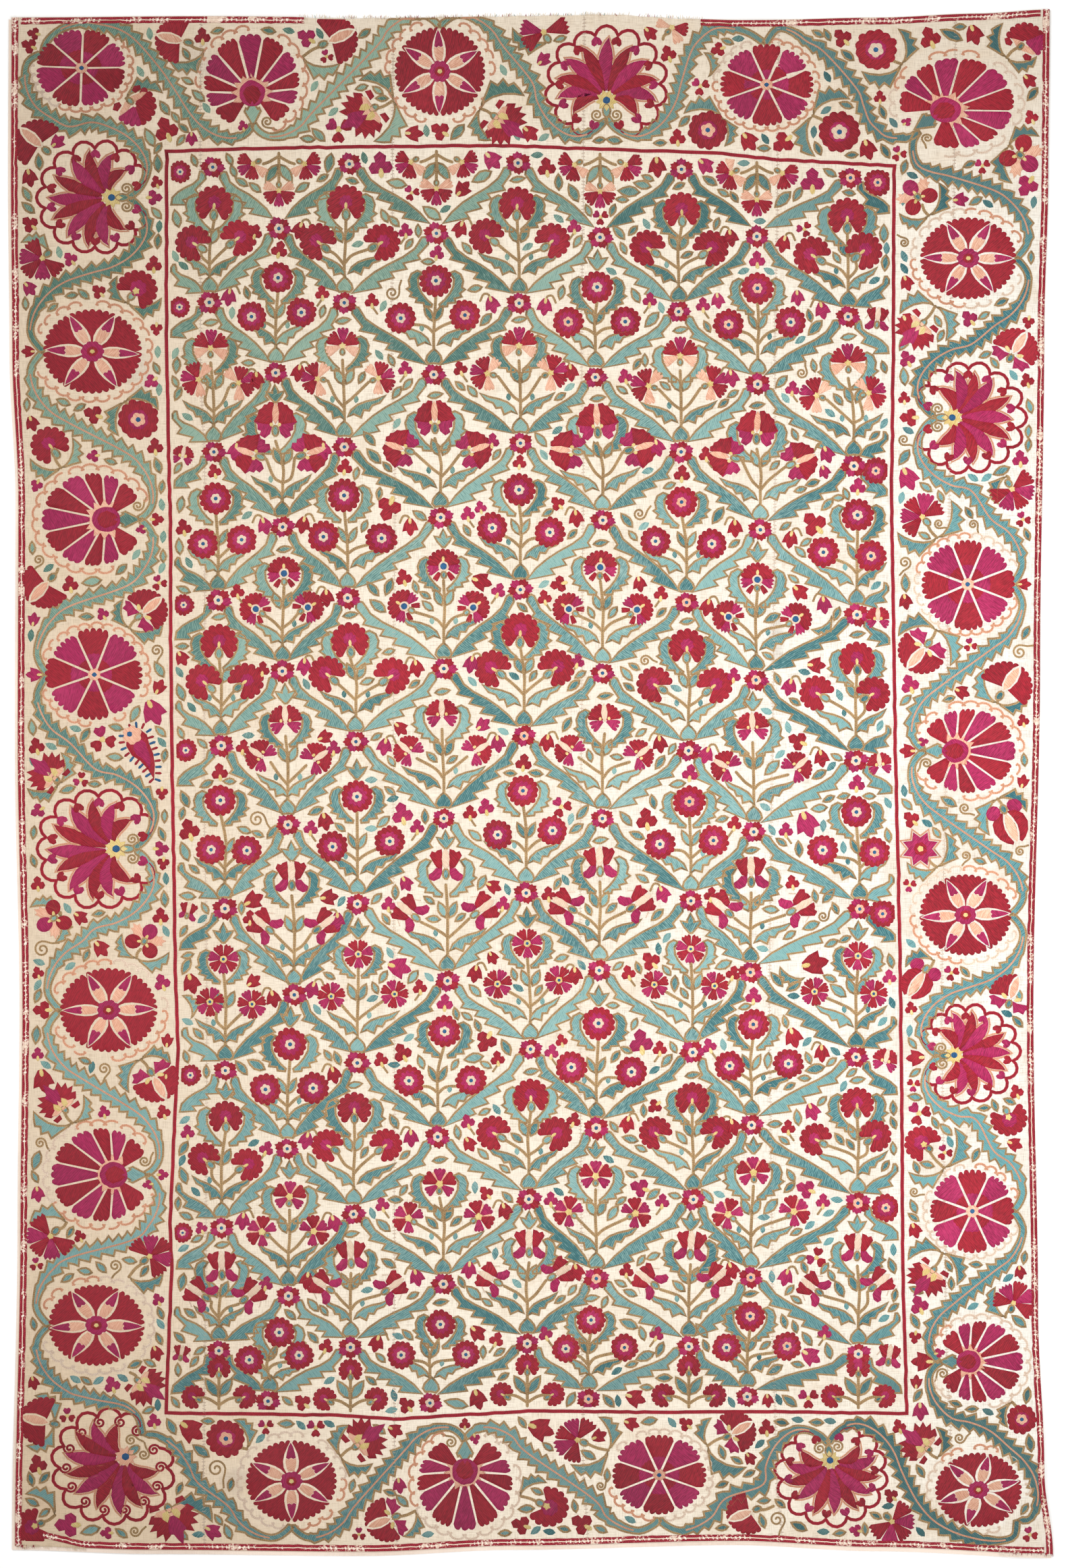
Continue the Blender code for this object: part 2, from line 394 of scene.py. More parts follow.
def cloth_fence(points):
    """Points kept on the face of the cloth, clear of the edge braid."""
    top_room = np.where((points.real > RAW_TOP[0]) & (points.real < RAW_TOP[1]), 2.5, EDGE_ROOM)
    top, bottom = smooth_line(TOP_EDGE, points.real), smooth_line(BOTTOM_EDGE, points.real)
    down = np.clip(-points.imag, top + top_room, bottom - EDGE_ROOM)
    left, right = smooth_line(LEFT_EDGE, down), smooth_line(RIGHT_EDGE, down)
    return np.clip(points.real, left + EDGE_ROOM, right - EDGE_ROOM) - 1j * down


fence = cloth_fence


def fenced(points):
    """The points inside the fence, or nothing when most of them are outside it."""
    kept = fence(points)
    moved = np.abs(kept - points)
    return kept if np.mean(moved > 3) < 0.45 and moved.max() < 30 else kept[:0]


def couch(thread, outline, level=0, rim=True):
    """Fills an outline with a thread. level is how many fills lie under it."""
    outline = fenced(np.asarray(outline, complex))
    outline = outline[np.abs(outline - np.roll(outline, 1)) > 0.2]
    if len(outline) < 3:
        return
    after = np.roll(outline, -1)
    if np.sum(outline.real * after.imag - outline.imag * after.real) < 0:
        outline = outline[::-1]
    slant = draw.choice((0.7, 0.95, 1.2, 2.2, 2.4)) + astray(0.15)
    fills.append((thread, outline, level, rim, slant, draw.uniform(0, 1)))
    if level == 0:
        everything.append((outline, 0.0, True))


def lay(thread, line, wide, closed=False, level=0):
    """Lays a double row of stitches along a line."""
    line = fenced(np.asarray(line, complex))
    line = line[np.abs(np.diff(line, prepend=np.inf)) > 0.3]
    if closed and len(line) and abs(line[0] - line[-1]) < 0.3:
        line = line[:-1]
    if len(line) >= 2:
        lines.append((thread, line, wide, closed, level))
        everything.append((line, wide / 2, closed))


def inside(points, outline):
    """Which of the points lie inside an outline."""
    start, end = outline, np.roll(outline, -1)
    py, px = points.imag[:, None], points.real[:, None]
    crosses = (start.imag > py) != (end.imag > py)
    rise = np.where(end.imag == start.imag, 1e-9, end.imag - start.imag)
    reach = start.real + (py - start.imag) / rise * (end.real - start.real)
    return np.sum(crosses & (px < reach), axis=1) % 2 == 1


def fill_mesh(outline, level, rim, lift):
    """Places, heights and triangles of one fill."""
    count, points = len(outline), outline
    left, right = outline.real.min(), outline.real.max()
    low, high = outline.imag.min(), outline.imag.max()
    if min(right - left, high - low) > 1.6 * INNER_CELL:
        aside = np.arange(left + INNER_CELL / 2, right, INNER_CELL)
        up = np.arange(low + INNER_CELL / 2, high, INNER_CELL)
        inner = (aside[:, None] + 1j * up).ravel()
        points = np.append(outline, inner[inside(inner, outline)])
    flat = [Vector((p.real, p.imag)) for p in points]
    sides = [(i, (i + 1) % count) for i in range(count)]
    verts, _, faces = delaunay_2d_cdt(flat, sides, [], 0, 1e-4, False)[:3]
    places = [complex(*v) for v in verts]
    middles = np.array(places)[np.array(faces)].mean(axis=1)
    base = 0.0 if level == 0 else SILK_RISE + (level - 1) * LEVEL_RISE - 0.05
    heights = [SILK_RISE + lift + level * LEVEL_RISE] * len(places)
    triangles = []
    for (a, b, c), kept in zip(faces, inside(middles, outline)):
        if kept:
            turns_left = ((places[b] - places[a]).conjugate() * (places[c] - places[a])).imag > 0
            triangles.append((a, b, c) if turns_left else (a, c, b))
    if rim:
        directed = {(t[i], t[(i + 1) % 3]) for t in triangles for i in range(3)}
        border = sorted((a, b) for a, b in directed if (b, a) not in directed)
        out = {}
        for a, b in border:
            way = places[b] - places[a]
            for end in (a, b):
                out[end] = out.get(end, 0) - 1j * way / (abs(way) + 1e-9)
        foot = {}
        for a, way in out.items():
            foot[a] = len(places)
            places.append(places[a] + EDGE_ROUND * way / max(0.5, abs(way)))
            heights.append(base)
        for a, b in border:
            triangles += [(b, a, foot[a]), (b, foot[a], foot[b])]
    return places, heights, triangles


def line_mesh(line, wide, closed, level):
    """Places, heights, faces and UVs of one double row."""
    if not closed:
        first, last = line[0] - line[1], line[-1] - line[-2]
        reach = wide * 0.35
        line = np.array([line[0] + first / abs(first) * reach, *line, line[-1] + last / abs(last) * reach])
    count = len(line)
    ahead, behind = np.roll(line, -1) - line, line - np.roll(line, 1)
    if not closed:
        ahead[-1], behind[0] = behind[-1], ahead[0]
    ahead, behind = ahead / (np.abs(ahead) + 1e-9), behind / (np.abs(behind) + 1e-9)
    way = np.where(np.abs(ahead + behind) < 0.2, ahead, ahead + behind)
    bend = np.clip(1 / np.maximum(np.abs(way) / 2, 1e-3), 1, 1.5)
    half = np.full(count, wide / 2)
    rise = np.full(count, CORD_RISE + (FLOWER_RISE if level else 0) + level * LEVEL_RISE)
    if not closed:
        half[[0, -1]] *= 0.4
        rise[[0, -1]] = 0.1
        bend[[0, -1]] = 1
    side = 1j * way / np.abs(way) * half * bend
    places = np.stack([line + side, line, line - side], axis=1).ravel()
    foot = np.full(count, LINE_FOOT if closed else 0.12)
    heights = np.stack([foot, rise, foot], axis=1).ravel()
    if level:
        heights = np.maximum(heights, SILK_RISE + FLOWER_RISE)
    run = run_along(line)
    faces = []
    for i in range(count if closed else count - 1):
        a, b = 3 * i, 3 * ((i + 1) % count)
        faces += [(a, a + 1, b + 1, b), (a + 1, a + 2, b + 2, b + 1)]
    return places, heights, faces, np.repeat(run, 3) + np.tile([1j, 0, -1j], count)


def silk(name, dark, light, glow, strong=1.0, uneven=0.2):
    """Couched silk floss. UV runs along and across the rows in chart steps. Shade differs between fills."""
    f = Finish(name)
    place = f.place()
    x, y = f.parts(place)
    uv = f.place("UV")
    along, across = f.parts(uv)
    row = (across + f.noise(uv, (0.09, 0.12, 1.0)) * 3.0) * (math.tau / 2.6)
    rows = row.sin() * 0.5 + 0.5
    floss = f.noise(uv, (0.10, 0.42, 1.0), 4.0, 0.75)
    shade = f.add("ShaderNodeAttribute", {"attribute_name": "shade"}, output=2)
    worn = f.noise(place, 9.0, 3.0)
    # The rows stripe in the tone paints a highlight along each couched row and shade in the gaps between
    # rows.
    tone = (floss * 1.9 + rows * 0.25 * strong + shade * uneven - 0.6 - uneven * 0.5).between(0.0, 1.0)
    base = f.mix(tone, dark, light)
    base = f.mix((worn * 1.1 + floss * 0.7).between(0.85, 1.25) * 0.45, base, glow)
    dull = (0.0 - x - y * 0.35 + worn * 0.3).between(0.1, 0.9)
    base = f.mix(dull * 0.3, base, f.mix(0.3, dark, light))
    # Painted light: a pool of light brightens the silk in the middle of the length and towards the right; low
    # makes it darker towards the bottom right.
    painted_light_pool = 1.0 - (y + 0.08).size().between(0.25, 1.15) * 0.2 + x * 0.13
    low = (0.0 - y - 0.85).between(0.0, 0.3) * (x + 0.75).between(0.0, 1.0) * 0.15
    base = f.mix(1.0, base, painted_light_pool - low, "MULTIPLY")
    if name == "teal_silk":
        greener = (y - x * 1.1 + worn * 0.6).between(0.3, 1.7)
        base = f.mix(greener * 0.55, base, f.mix(tone, (0.06, 0.12, 0.07), (0.24, 0.31, 0.19)))
        deeper = (x + (0.0 - y) * 0.15 + worn * 0.4).between(0.35, 1.15)
        base = f.mix(deeper * 0.75, base, f.mix(tone, (0.015, 0.10, 0.125), (0.09, 0.29, 0.32)))
        ends = (y.size() - 0.75).between(0.0, 0.35) * (x * 0.8 + 0.3 - y * 0.05).between(0.0, 1.0) * 1.2
        base = f.mix(ends, base, f.mix(tone, (0.02, 0.075, 0.08), (0.075, 0.15, 0.145)))
    height = rows * 0.6 * strong + floss * 0.5
    return f.done(base, 0.6, height, 0.00045, Sheen_Weight=0.05, Specular_IOR_Level=0.25)


def twin_row(name, dark, light, wide):
    """Two rows of stitches, with painted shade where they meet and along their outer edges. UV is along in
    chart steps, and -1 to 1 across.
    """
    f = Finish(name)
    place = f.place()
    along, across = f.parts(f.place("UV"))
    ply = ((along + across.size() * wide * 0.4) * (math.tau / 2.8)).sin() * 0.5 + 0.5
    patchy = f.noise(place, 30.0, 3.0)
    fine = f.noise(place, 420.0)
    shaded_groove = 1.0 - across.size().between(0.02, 0.32)
    edge = across.size().between(0.72, 1.0)
    base = f.mix((fine * 0.7 + patchy * 0.6 + ply * 0.25 - 0.35).between(0.0, 0.9), dark, light)
    x, y = f.parts(place)
    # Painted light: a pool of light brightens the rows in the middle of the length and towards the right.
    base = f.mix(1.0, base, 1.05 - (y + 0.08).size().between(0.2, 1.15) * 0.26 + x * 0.12, "MULTIPLY")
    # Painted shade: darker in the groove where the two rows meet and along their outer edges.
    base = f.mix((shaded_groove * 0.75 + edge * 0.35).between(0.0, 1.0), base, f.mix(0.7, light, dark))
    return f.done(base, 0.7, ply * 0.5 + fine * 0.4 - shaded_groove, 0.0005, Specular_IOR_Level=0.25)


SILKS = {
    "crimson": silk("crimson_silk", (0.15, 0.002, 0.008), (0.38, 0.009, 0.024), (0.44, 0.020, 0.038)),
    "magenta": silk("magenta_silk", (0.18, 0.003, 0.038), (0.43, 0.015, 0.098), (0.55, 0.042, 0.155)),
    "teal": silk("teal_silk", (0.025, 0.11, 0.12), (0.22, 0.38, 0.355), (0.38, 0.53, 0.49), 1.3, 0.75),
    "peach": silk("peach_silk", (0.54, 0.24, 0.15), (0.82, 0.49, 0.34), (0.86, 0.62, 0.47)),
    "yellow": silk("yellow_silk", (0.50, 0.34, 0.10), (0.74, 0.58, 0.26), (0.80, 0.70, 0.42)),
    "cream": silk("cream_silk", (0.55, 0.38, 0.27), (0.74, 0.58, 0.44), (0.80, 0.68, 0.54)),
    "cloth": cotton,
    "blue": silk("blue_silk", (0.008, 0.045, 0.12), (0.02, 0.11, 0.25), (0.07, 0.20, 0.36)),
    "tan_row": twin_row("tan_silk_rows", (0.17, 0.095, 0.038), (0.52, 0.34, 0.165), 2.8),
    "peach_row": twin_row("peach_silk_rows", (0.42, 0.17, 0.09), (0.74, 0.40, 0.26), 2.4),
    "pale_row": twin_row("pale_silk_rows", (0.52, 0.36, 0.26), (0.80, 0.67, 0.54), 2.4),
    "crimson_row": twin_row("crimson_silk_rows", (0.15, 0.004, 0.010), (0.42, 0.016, 0.034), 5.0),
}


def sew(group):
    """Makes one joined piece of each thread from what has been drawn since the last call."""
    threads = {}
    for item in fills + lines:
        threads.setdefault(item[0], []).append(item[1:])
    for thread in sorted(threads):
        parts, faces, start = [], [], 0
        for line, *how in threads[thread]:
            if len(how) == 4:
                level, rim, slant, shade = how
                lift = (FLOWER_RISE if thread != "teal" else 0.0) + draw.uniform(0, 0.1)
                places, heights, sides = fill_mesh(line, level, rim, lift)
                uv = np.array(places) * complex(math.cos(-slant), math.sin(-slant))
            else:
                shade = 0.5
                places, heights, sides, uv = line_mesh(line, *how)
            faces += [tuple(i + start for i in side) for side in sides]
            start += len(places)
            parts.append((places, heights, uv, np.full(len(places), shade, np.float32)))
        place, height, uv, shade = map(np.concatenate, zip(*parts))
        points = in_space(place, FACE + cloth_rise(place) + height)
        piece = new_piece(f"{group}_{thread}", points, faces, SILKS[thread], uv)
        piece.data.attributes.new("shade", "FLOAT", "POINT").data.foreach_set("value", shade)
    fills.clear()
    lines.clear()


def bead(thread, centre, radius, lobes, depth, turn, each, level):
    """A round fill with rounded lobes, each of so many points. The turn is in radians."""
    step = np.arange(lobes * each)
    swell = np.abs(np.sin(math.pi * step / each))
    wobble = np.repeat([draw.uniform(0.94, 1.05) for _ in range(lobes)], each)
    reach = radius * (1 - depth * (1 - swell)) * np.where(swell > 0.1, wobble, 1)
    couch(thread, centre + reach * np.exp(1j * (turn + math.tau * step / (lobes * each))), level)


def curve(*knots, each=5):
    """A smooth line through knots."""
    knots = np.array(knots, complex)
    if len(knots) == 2:
        return np.linspace(*knots, each)
    ends = [2 * knots[0] - knots[1], *knots, 2 * knots[-1] - knots[-2]]
    t = np.linspace(0, 1, each, endpoint=False)
    out = []
    for a, b, c, d in zip(ends, knots, ends[2:], ends[3:]):
        square, cube = 2 * a - 5 * b + 4 * c - d, 3 * b - a - 3 * c + d
        out.append(0.5 * (2 * b + (c - a) * t + square * t**2 + cube * t**3))
    return np.concatenate([*out, [knots[-1]]])


LEAF_LINE = 3.2


def stem(*knots, wide=4.6):
    lay("tan_row", curve(*knots), wide)

# The field's frame: a double row of crimson cord round the trellis, laid by hand and a little uneven.
FIELD_FRAME = (
    (247, 224), (400, 220), (520, 218), (744, 216), (1060, 227), (1156, 237), (1325, 246), (1324, 520),
    (1321, 746), (1325, 960), (1327, 1111), (1334, 1420), (1336, 1584), (1338, 1880), (1344, 2095),
    (1150, 2092), (980, 2093), (783, 2091), (585, 2103), (500, 2097), (246, 2094), (255, 1880), (252, 1813),
    (264, 1553), (260, 1440), (256, 1174), (253, 960), (253, 786), (247, 520),
)
corners = np.array([complex(a, -d) for a, d in FIELD_FRAME])
frame_line = []
for start, end in zip(corners, np.roll(corners, -1)):
    steps = max(2, int(abs(end - start) / 12))
    for share in np.arange(steps) / steps:
        frame_line.append(start + (end - start) * share + complex(draw.gauss(0, 0.35), draw.gauss(0, 0.35)))
lay("crimson_row", frame_line, 5.2, closed=True)
sew("frame")


def frame_at(side, place):
    """Where a side of the field's frame stands, at a place along it or an array of them."""
    upright = side in ("left", "right")
    low, high = {"left": (0, 300), "right": (1300, 1580), "top": (0, 300), "bottom": (2080, 2324)}[side]
    stations = sorted((d, a) if upright else (a, d) for a, d in FIELD_FRAME)
    return np.interp(place, *np.array([(run, off) for run, off in stations if low < off < high]).T)


def field_side(down, right):
    return frame_at("right" if right else "left", down)


def field_fence(points):
    """Points kept inside the field's frame."""
    top, bottom = frame_at("top", points.real), frame_at("bottom", points.real)
    down = np.clip(-points.imag, top + EDGE_ROOM, bottom - EDGE_ROOM)
    left, right = field_side(down, False), field_side(down, True)
    return np.clip(points.real, left + EDGE_ROOM, right - EDGE_ROOM) - 1j * down


fence = field_fence

# The trellis. Slim serrated leaves run down from each rosette to the next, so that two make a V, and
# a rosette of six petals covers each crossing. Rows alternate between five and four crossings.
TRELLIS = (
    # first across, last across, down at the left, middle and right
    (317, 1257, 250, 240, 265),
    (413, 1124, 337, 352, 351),
    (314, 1255, 451, 451, 471),
    (406, 1120, 552, 556, 570),
    (314, 1263, 672, 656, 691),
    (416, 1126, 784, 762, 787),
    (320, 1267, 892, 876, 910),
    (422, 1122, 994, 993, 1011),
    (326, 1271, 1105, 1092, 1130),
    (428, 1120, 1225, 1206, 1233),
    (332, 1271, 1347, 1324, 1347),
    (435, 1114, 1475, 1440, 1442),
    (331, 1272, 1588, 1556, 1566),
    (423, 1112, 1702, 1672, 1669),
    (329, 1273, 1821, 1776, 1785),
    (424, 1115, 1919, 1895, 1896),
    (324, 1270, 2003, 1988, 2009),
    (397, 1107, 2079, 2079, 2067),
)
EVEN_SHARES = (0.0, 0.21, 0.48, 0.737, 1.0)
ODD_SHARES = (0.0, 0.333, 0.67, 1.0)
crossings = []
for number, (first, last, *downs) in enumerate(TRELLIS):
    row = []
    for share in ODD_SHARES if number % 2 else EVEN_SHARES:
        across = first + (last - first) * share + astray(4)
        row.append(complex(across, -np.interp(share, (0, 0.5, 1), downs) - astray(3)))
    crossings.append(row)


# a trellis leaf's upper edge, as places along and off it, and its steps, as a share along and a depth
LEAF_UPPER = (
    (-0.5, -3), (0, 3), (4, 5), (10, 2), (18, -2), (34, -1.5), (53, 2.5), (70, 4.5), (88, 4), (105, 0),
)
LEAF_STEPS = ((0.71, 18.5), (0.545, 19), (0.375, 19), (0.19, 20.5))


def outlined_leaf(outline):
    """A teal leaf in a tan outline."""
    couch("teal", outline, rim=False)
    lay("tan_row", outline, LEAF_LINE, closed=True)


def trellis_leaf(top, foot, end_gap=17.0, start_gap=16.0):
    """A leaf from one crossing down to another: a rounded head, a smooth upper edge, four teeth like
    stairs below, and a long straight run to the tip."""
    way = (foot - top) / abs(foot - top)
    over = 1j if way.real > 0 else -1j
    start, tip = top + way * (start_gap + 3.0 * over), foot - way * (end_gap - 5.0 * over)
    long = abs(tip - start)
    along = (tip - start) / long
    points = [(a * long / 105, b + astray(0.5)) for a, b in LEAF_UPPER]
    for share, deep in LEAF_STEPS if long > 78 else LEAF_STEPS[::2]:
        share += astray(0.015)
        deep += astray(1.2)
        points += [(share * long, -deep), (share * long - 0.8, -deep * (0.5 if share > 0.3 else 0.66))]
    points.append((3.5, -8.5))
    outlined_leaf([start + along * (a + b * over) for a, b in points])


# a rosette's petal, as shares of its sixth of the turn and of the radius
PETAL = ((0.02, 0.8), (0.18, 0.98), (0.32, 0.9), (0.5, 1.1), (0.68, 0.9), (0.82, 0.98), (0.98, 0.8))


def rosette(centre, radius):
    """Six petals in two reds by turns, a little wider than tall, round a cream ring with a blue eye."""
    turn = draw.uniform(0, 1)
    for k in range(6):
        reach = radius * draw.uniform(0.95, 1.06)
        petal = np.array([reach * out * np.exp(1j * (turn + (k + s) * math.tau / 6)) for s, out in PETAL])
        couch(REDS[k % 2], centre + np.append(0, petal.real * 1.04 + 0.9j * petal.imag))
    eye = "peach" if draw.random() < centre.real / 1580 - 0.4 else "cream"
    bead(eye, centre, radius * 0.43, 6, 0.18, turn, 3, 1)
    bead("blue", centre, radius * 0.16, 4, 0.1, turn, 2, 2)


for number, row in enumerate(crossings[:-1]):
    below = crossings[number + 1]
    even = number % 2 == 0
    for k, top in enumerate(row):
        for foot in (k - 1, k) if even else (k, k + 1):
            if 0 <= foot < len(below):
                trellis_leaf(top, below[foot])
    for crossing, side in ((row[0], -1), (row[-1], 1)) if even else ((below[0], -1), (below[-1], 1)):
        edge = field_side(-crossing.imag + (55 if even else -50), side > 0) - 6 * side
        aside = abs(edge - crossing.real)
        if even:
            trellis_leaf(crossing, complex(edge, crossing.imag - aside * 0.95), end_gap=0)
        else:
            trellis_leaf(complex(edge, crossing.imag + aside * 0.9), crossing, start_gap=0)
for number, row in enumerate(crossings):
    for centre in row:
        rosette(centre, draw.uniform(16, 17.8))
sew("trellis")

# The sprays. In each cell of the trellis a stem stands on a small kite and carries a flower between two
# cupping leaves, and two more on side stems. Each row of cells has its own kind of flower.


def at(centre, turn, size, pairs, side=1):
    """Chart points from an (across, up) pair, or a list of them, about a centre, turned in degrees."""
    across, up = np.array(pairs, float).T
    return centre + size * ray(turn) * (side * across + 1j * up)


def wedge(thread, centre, turn, start, end, inner, outer, lobes, depth, point=False):
    """A petal between two angles in degrees, with a scalloped or pointed outer edge."""
    each = 2 if point else 5
    step = np.arange(lobes * each + 1)
    share = step % each / each
    swell = 1 - np.abs(share * 2 - 1) if point else np.sin(math.pi * share) ** 0.6
    rim = outer * (1 - depth + depth * swell) * ray(turn + start + (end - start) * step / (lobes * each))
    back = np.linspace(end, start, 6 if abs(end - start) > 40 else 2)
    couch(thread, centre + np.append(rim, inner * ray(turn + back) if inner > 1 else 0))


def wedges(centre, turn, radius, *rows):
    """Petals from rows: thread, start, end, inner, outer in shares of the radius, lobes, depth, pointed."""
    for thread, start, end, inner, outer, *edge in rows:
        wedge(thread, centre, turn, start, end, inner, radius * outer, *edge)


def oval(centre, turn, wide, long, count=10):
    """An oval whose long way is up before the turn."""
    angle = np.arange(count) * math.tau / count
    return centre + ray(turn) * (wide / 2 * np.cos(angle) + 1j * long / 2 * np.sin(angle))


# Outlines of flowers and leaves are (across, up) places from a foot or a centre.
LENS = ((0, 0), (0.36, 0.2), (0.5, 0.5), (0.34, 0.8), (0, 1), (-0.34, 0.8), (-0.5, 0.5), (-0.36, 0.2))


def lens(centre, turn, wide, long):
    """A pointed oval standing on the centre."""
    return at(centre, turn, 1, np.array(LENS) * (wide, long))


def seed(centre, turn, size, place, wide, long, count=7, level=1):
    """A yellow oval at a place on a flower."""
    couch("yellow", oval(at(centre, turn, size, place), turn, wide, long, count), level)


def calyx(centre, turn, size, up, wide, long):
    outline = oval(at(centre, turn, size, (0, up)), turn, wide * size, long * size)
    couch("teal", outline, level=1, rim=False)
    lay("tan_row", outline, 2.8, closed=True, level=1)


def zinnia(centre, turn, radius):
    """Two rings of small petals round a cream eye."""
    bead("crimson", centre, radius, 15, 0.13, turn, 5, 0)
    bead("magenta", centre, radius * 0.66, 11, 0.24, turn, 4, 1)
    eye = "peach" if draw.random() < centre.real / 1580 - 0.25 else "cream"
    bead(eye, centre, radius * 0.33, 6, 0.22, turn, 3, 2)
    bead("blue", centre, radius * 0.12, 5, 0.05, turn, 2, 3)


def carnation(centre, turn, radius):
    """A toothed round flower, open towards its stem."""
    wedge("crimson", centre, turn, -58, 238, radius * 0.12, radius, 11, 0.15)
    bead("magenta", at(centre, turn, radius, (0, 0.12)), radius * 0.36, 8, 0.2, turn, 3, 1)
    seed(centre, turn, radius, (0, -0.08), 0.15 * radius, 0.34 * radius, level=2)
    calyx(centre, turn, radius, -0.55, 0.38, 0.56)


FAN_WEDGES = (
    ("crimson", 6, 62, 4), ("magenta", 70, 110, 3), ("crimson", 118, 174, 4), ("peach", 184, 222, 3),
    ("peach", -42, -4, 3),
)


def fan(centre, turn, radius):
    """Crimson and magenta wedges over two peach ones."""
    for thread, start, end, lobes in FAN_WEDGES:
        wedge(thread, centre, turn, start, end, 2.5, radius * draw.uniform(0.94, 1.04), lobes, 0.16)
    bead("yellow", centre, radius * 0.2, 5, 0.45, turn, 2, 1)
    calyx(centre, turn, radius, -0.36, 0.26, 0.34)


IRIS_CRIMSON = (
    (-3, 31), (-9, 32), (-12, 28), (-16, 28), (-19, 23), (-24, 20), (-25, 14), (-28, 9), (-31, 4), (-18, 1),
    (-5, 0),
)
IRIS_MAGENTA = (
    (-31, 4), (-25, 0), (-25, -7), (-20, -9), (-22, -15), (-15, -19), (-8, -13), (-6, -5), (-5, 0),
)


def iris(centre, turn, radius):
    """Crimson and magenta wings on both sides of a peach lens."""
    size = radius / 29
    for side in (1, -1):
        couch("crimson", at(centre, turn, size, IRIS_CRIMSON, side))
        couch("magenta", at(centre, turn, size, IRIS_MAGENTA, side))
        seed(centre, turn, size, (side * 6, 0), 4.5, 5.5, 6)
    couch("peach", lens(at(centre, turn, size, (0, 1)), turn, 9.5 * size, 30 * size), level=1)
    calyx(centre, turn, size, -9, 9, 15)


def ringed(centre, turn, radius):
    """A scalloped crimson flower, magenta by its stem, with a blue eye in a cream ring."""
    wedges(
        centre, turn, radius,
        ("crimson", 8, 172, 0, 1, 9, 0.13),
        ("magenta", 176, 214, 4, 1, 3, 0.15, True), ("magenta", -34, 4, 4, 1, 3, 0.15, True),
    )
    for start in (226, -66):
        wedge("crimson", centre, turn, start, start + 20, radius * 0.45, radius * 0.95, 3, 0.25)
    bead("cream", centre, radius * 0.3, 6, 0.08, turn, 3, 1)
    bead("blue", centre, radius * 0.19, 5, 0.05, turn, 3, 2)
    seed(centre, turn, radius, (0, 0.42), 4, 8)
    calyx(centre, turn, radius, -0.5, 0.3, 0.4)


def poppy(centre, turn, radius):
    """Two scalloped crimson halves round a cream lens, with magenta below."""
    wedges(
        centre, turn, radius,
        ("crimson", 4, 80, 3, 1, 5, 0.1), ("crimson", 100, 176, 3, 1, 5, 0.1),
        ("magenta", 184, 232, 4, 0.92, 3, 0.2), ("magenta", -52, -4, 4, 0.92, 3, 0.2),
    )
    couch("cream", lens(at(centre, turn, radius, (0, -0.1)), turn, 0.36 * radius, 1.08 * radius), level=1)
    for side in (1, -1):
        seed(centre, turn, radius, (side * 0.26, 0.08), 4, 5, 6)


TULIP_PETAL = ((-6, 29), (-12, 27), (-15, 24), (-20, 26), (-23, 20), (-18, 11), (-13, 3), (-6, 1), (-5, 12))
TULIP_LOWER = ((-6, 1), (-14, 1), (-19, -5), (-25, -9), (-24, -15), (-17, -17), (-9, -13), (-6, -6))


def tulip(centre, turn, radius):
    """Two flared crimson petals over two magenta ones, with a cream lens between."""
    size = radius / 28
    for side in (1, -1):
        couch("crimson", at(centre, turn + astray(4), size, TULIP_PETAL, side))
        couch("magenta", at(centre, turn + astray(4), size, TULIP_LOWER, side))
        lay("pale_row", at(centre, turn, size, [(side * 20, 12), (side * 25, 4)]), 2)
    couch("cream", lens(centre, turn, 11 * size, 30 * size), level=1)
    calyx(centre, turn, size, -7, 9, 15)


def small_wheel(centre, turn, radius):
    """Seven narrow petals like the spokes of a wheel."""
    for k in range(7):
        start, end = k * 360 / 7 + 5, (k + 1) * 360 / 7 - 5
        thread = REDS[k % 2]
        wedge(thread, centre, turn + 90, start, end, radius * 0.26, radius, 3, 0.12, point=k % 3 == 0)
    bead("yellow", centre, radius * 0.24, 5, 0.3, turn, 2, 1)
    bead("blue", centre, radius * 0.1, 5, 0.05, turn, 2, 2)


def pansy(centre, turn, radius):
    """Round petals with peach between them, on a yellow eye."""
    wedges(
        centre, turn, radius,
        ("magenta", 66, 114, 4, 0.92, 3, 0.1),
        ("crimson", -2, 52, 4, 1, 3, 0.1), ("crimson", 128, 182, 4, 1, 3, 0.1),
        ("magenta", 196, 236, 4, 0.92, 3, 0.1), ("magenta", -56, -16, 4, 0.92, 3, 0.1),
        ("peach", 55, 63, 4, 0.8, 1, 0.2), ("peach", 117, 125, 4, 0.8, 1, 0.2),
    )
    bead("yellow", centre, radius * 0.24, 5, 0.3, turn, 2, 1)
    calyx(centre, turn, radius, -0.42, 0.3, 0.36)


BELL = (
    (-3, 1), (-8, -6), (-11, -16), (-5, -15), (-3, -20), (0, -23), (3, -20), (5, -15), (11, -15), (8, -6),
    (3, 1),
)
TREFOIL = (
    (-2, 1), (-8, 1), (-10, 6), (-7, 10), (-4, 10), (-5, 15), (0, 19), (5, 15), (4, 10), (8, 10), (10, 5),
    (7, 1), (2, 1),
)


def bell(tip, turn, size, thread):
    """A hanging bud with three points, yellow where it joins its stem."""
    couch(thread, at(tip, turn, size, BELL))
    seed(tip, turn, size, (0, -2), 4.2 * size, 8 * size)


def trefoil(foot, turn, size, thread):
    """A bud of three small petals on a yellow foot."""
    couch(thread, at(foot, turn, size, TREFOIL))
    seed(foot, turn, size, (0, 1), 4 * size, 8.5 * size)


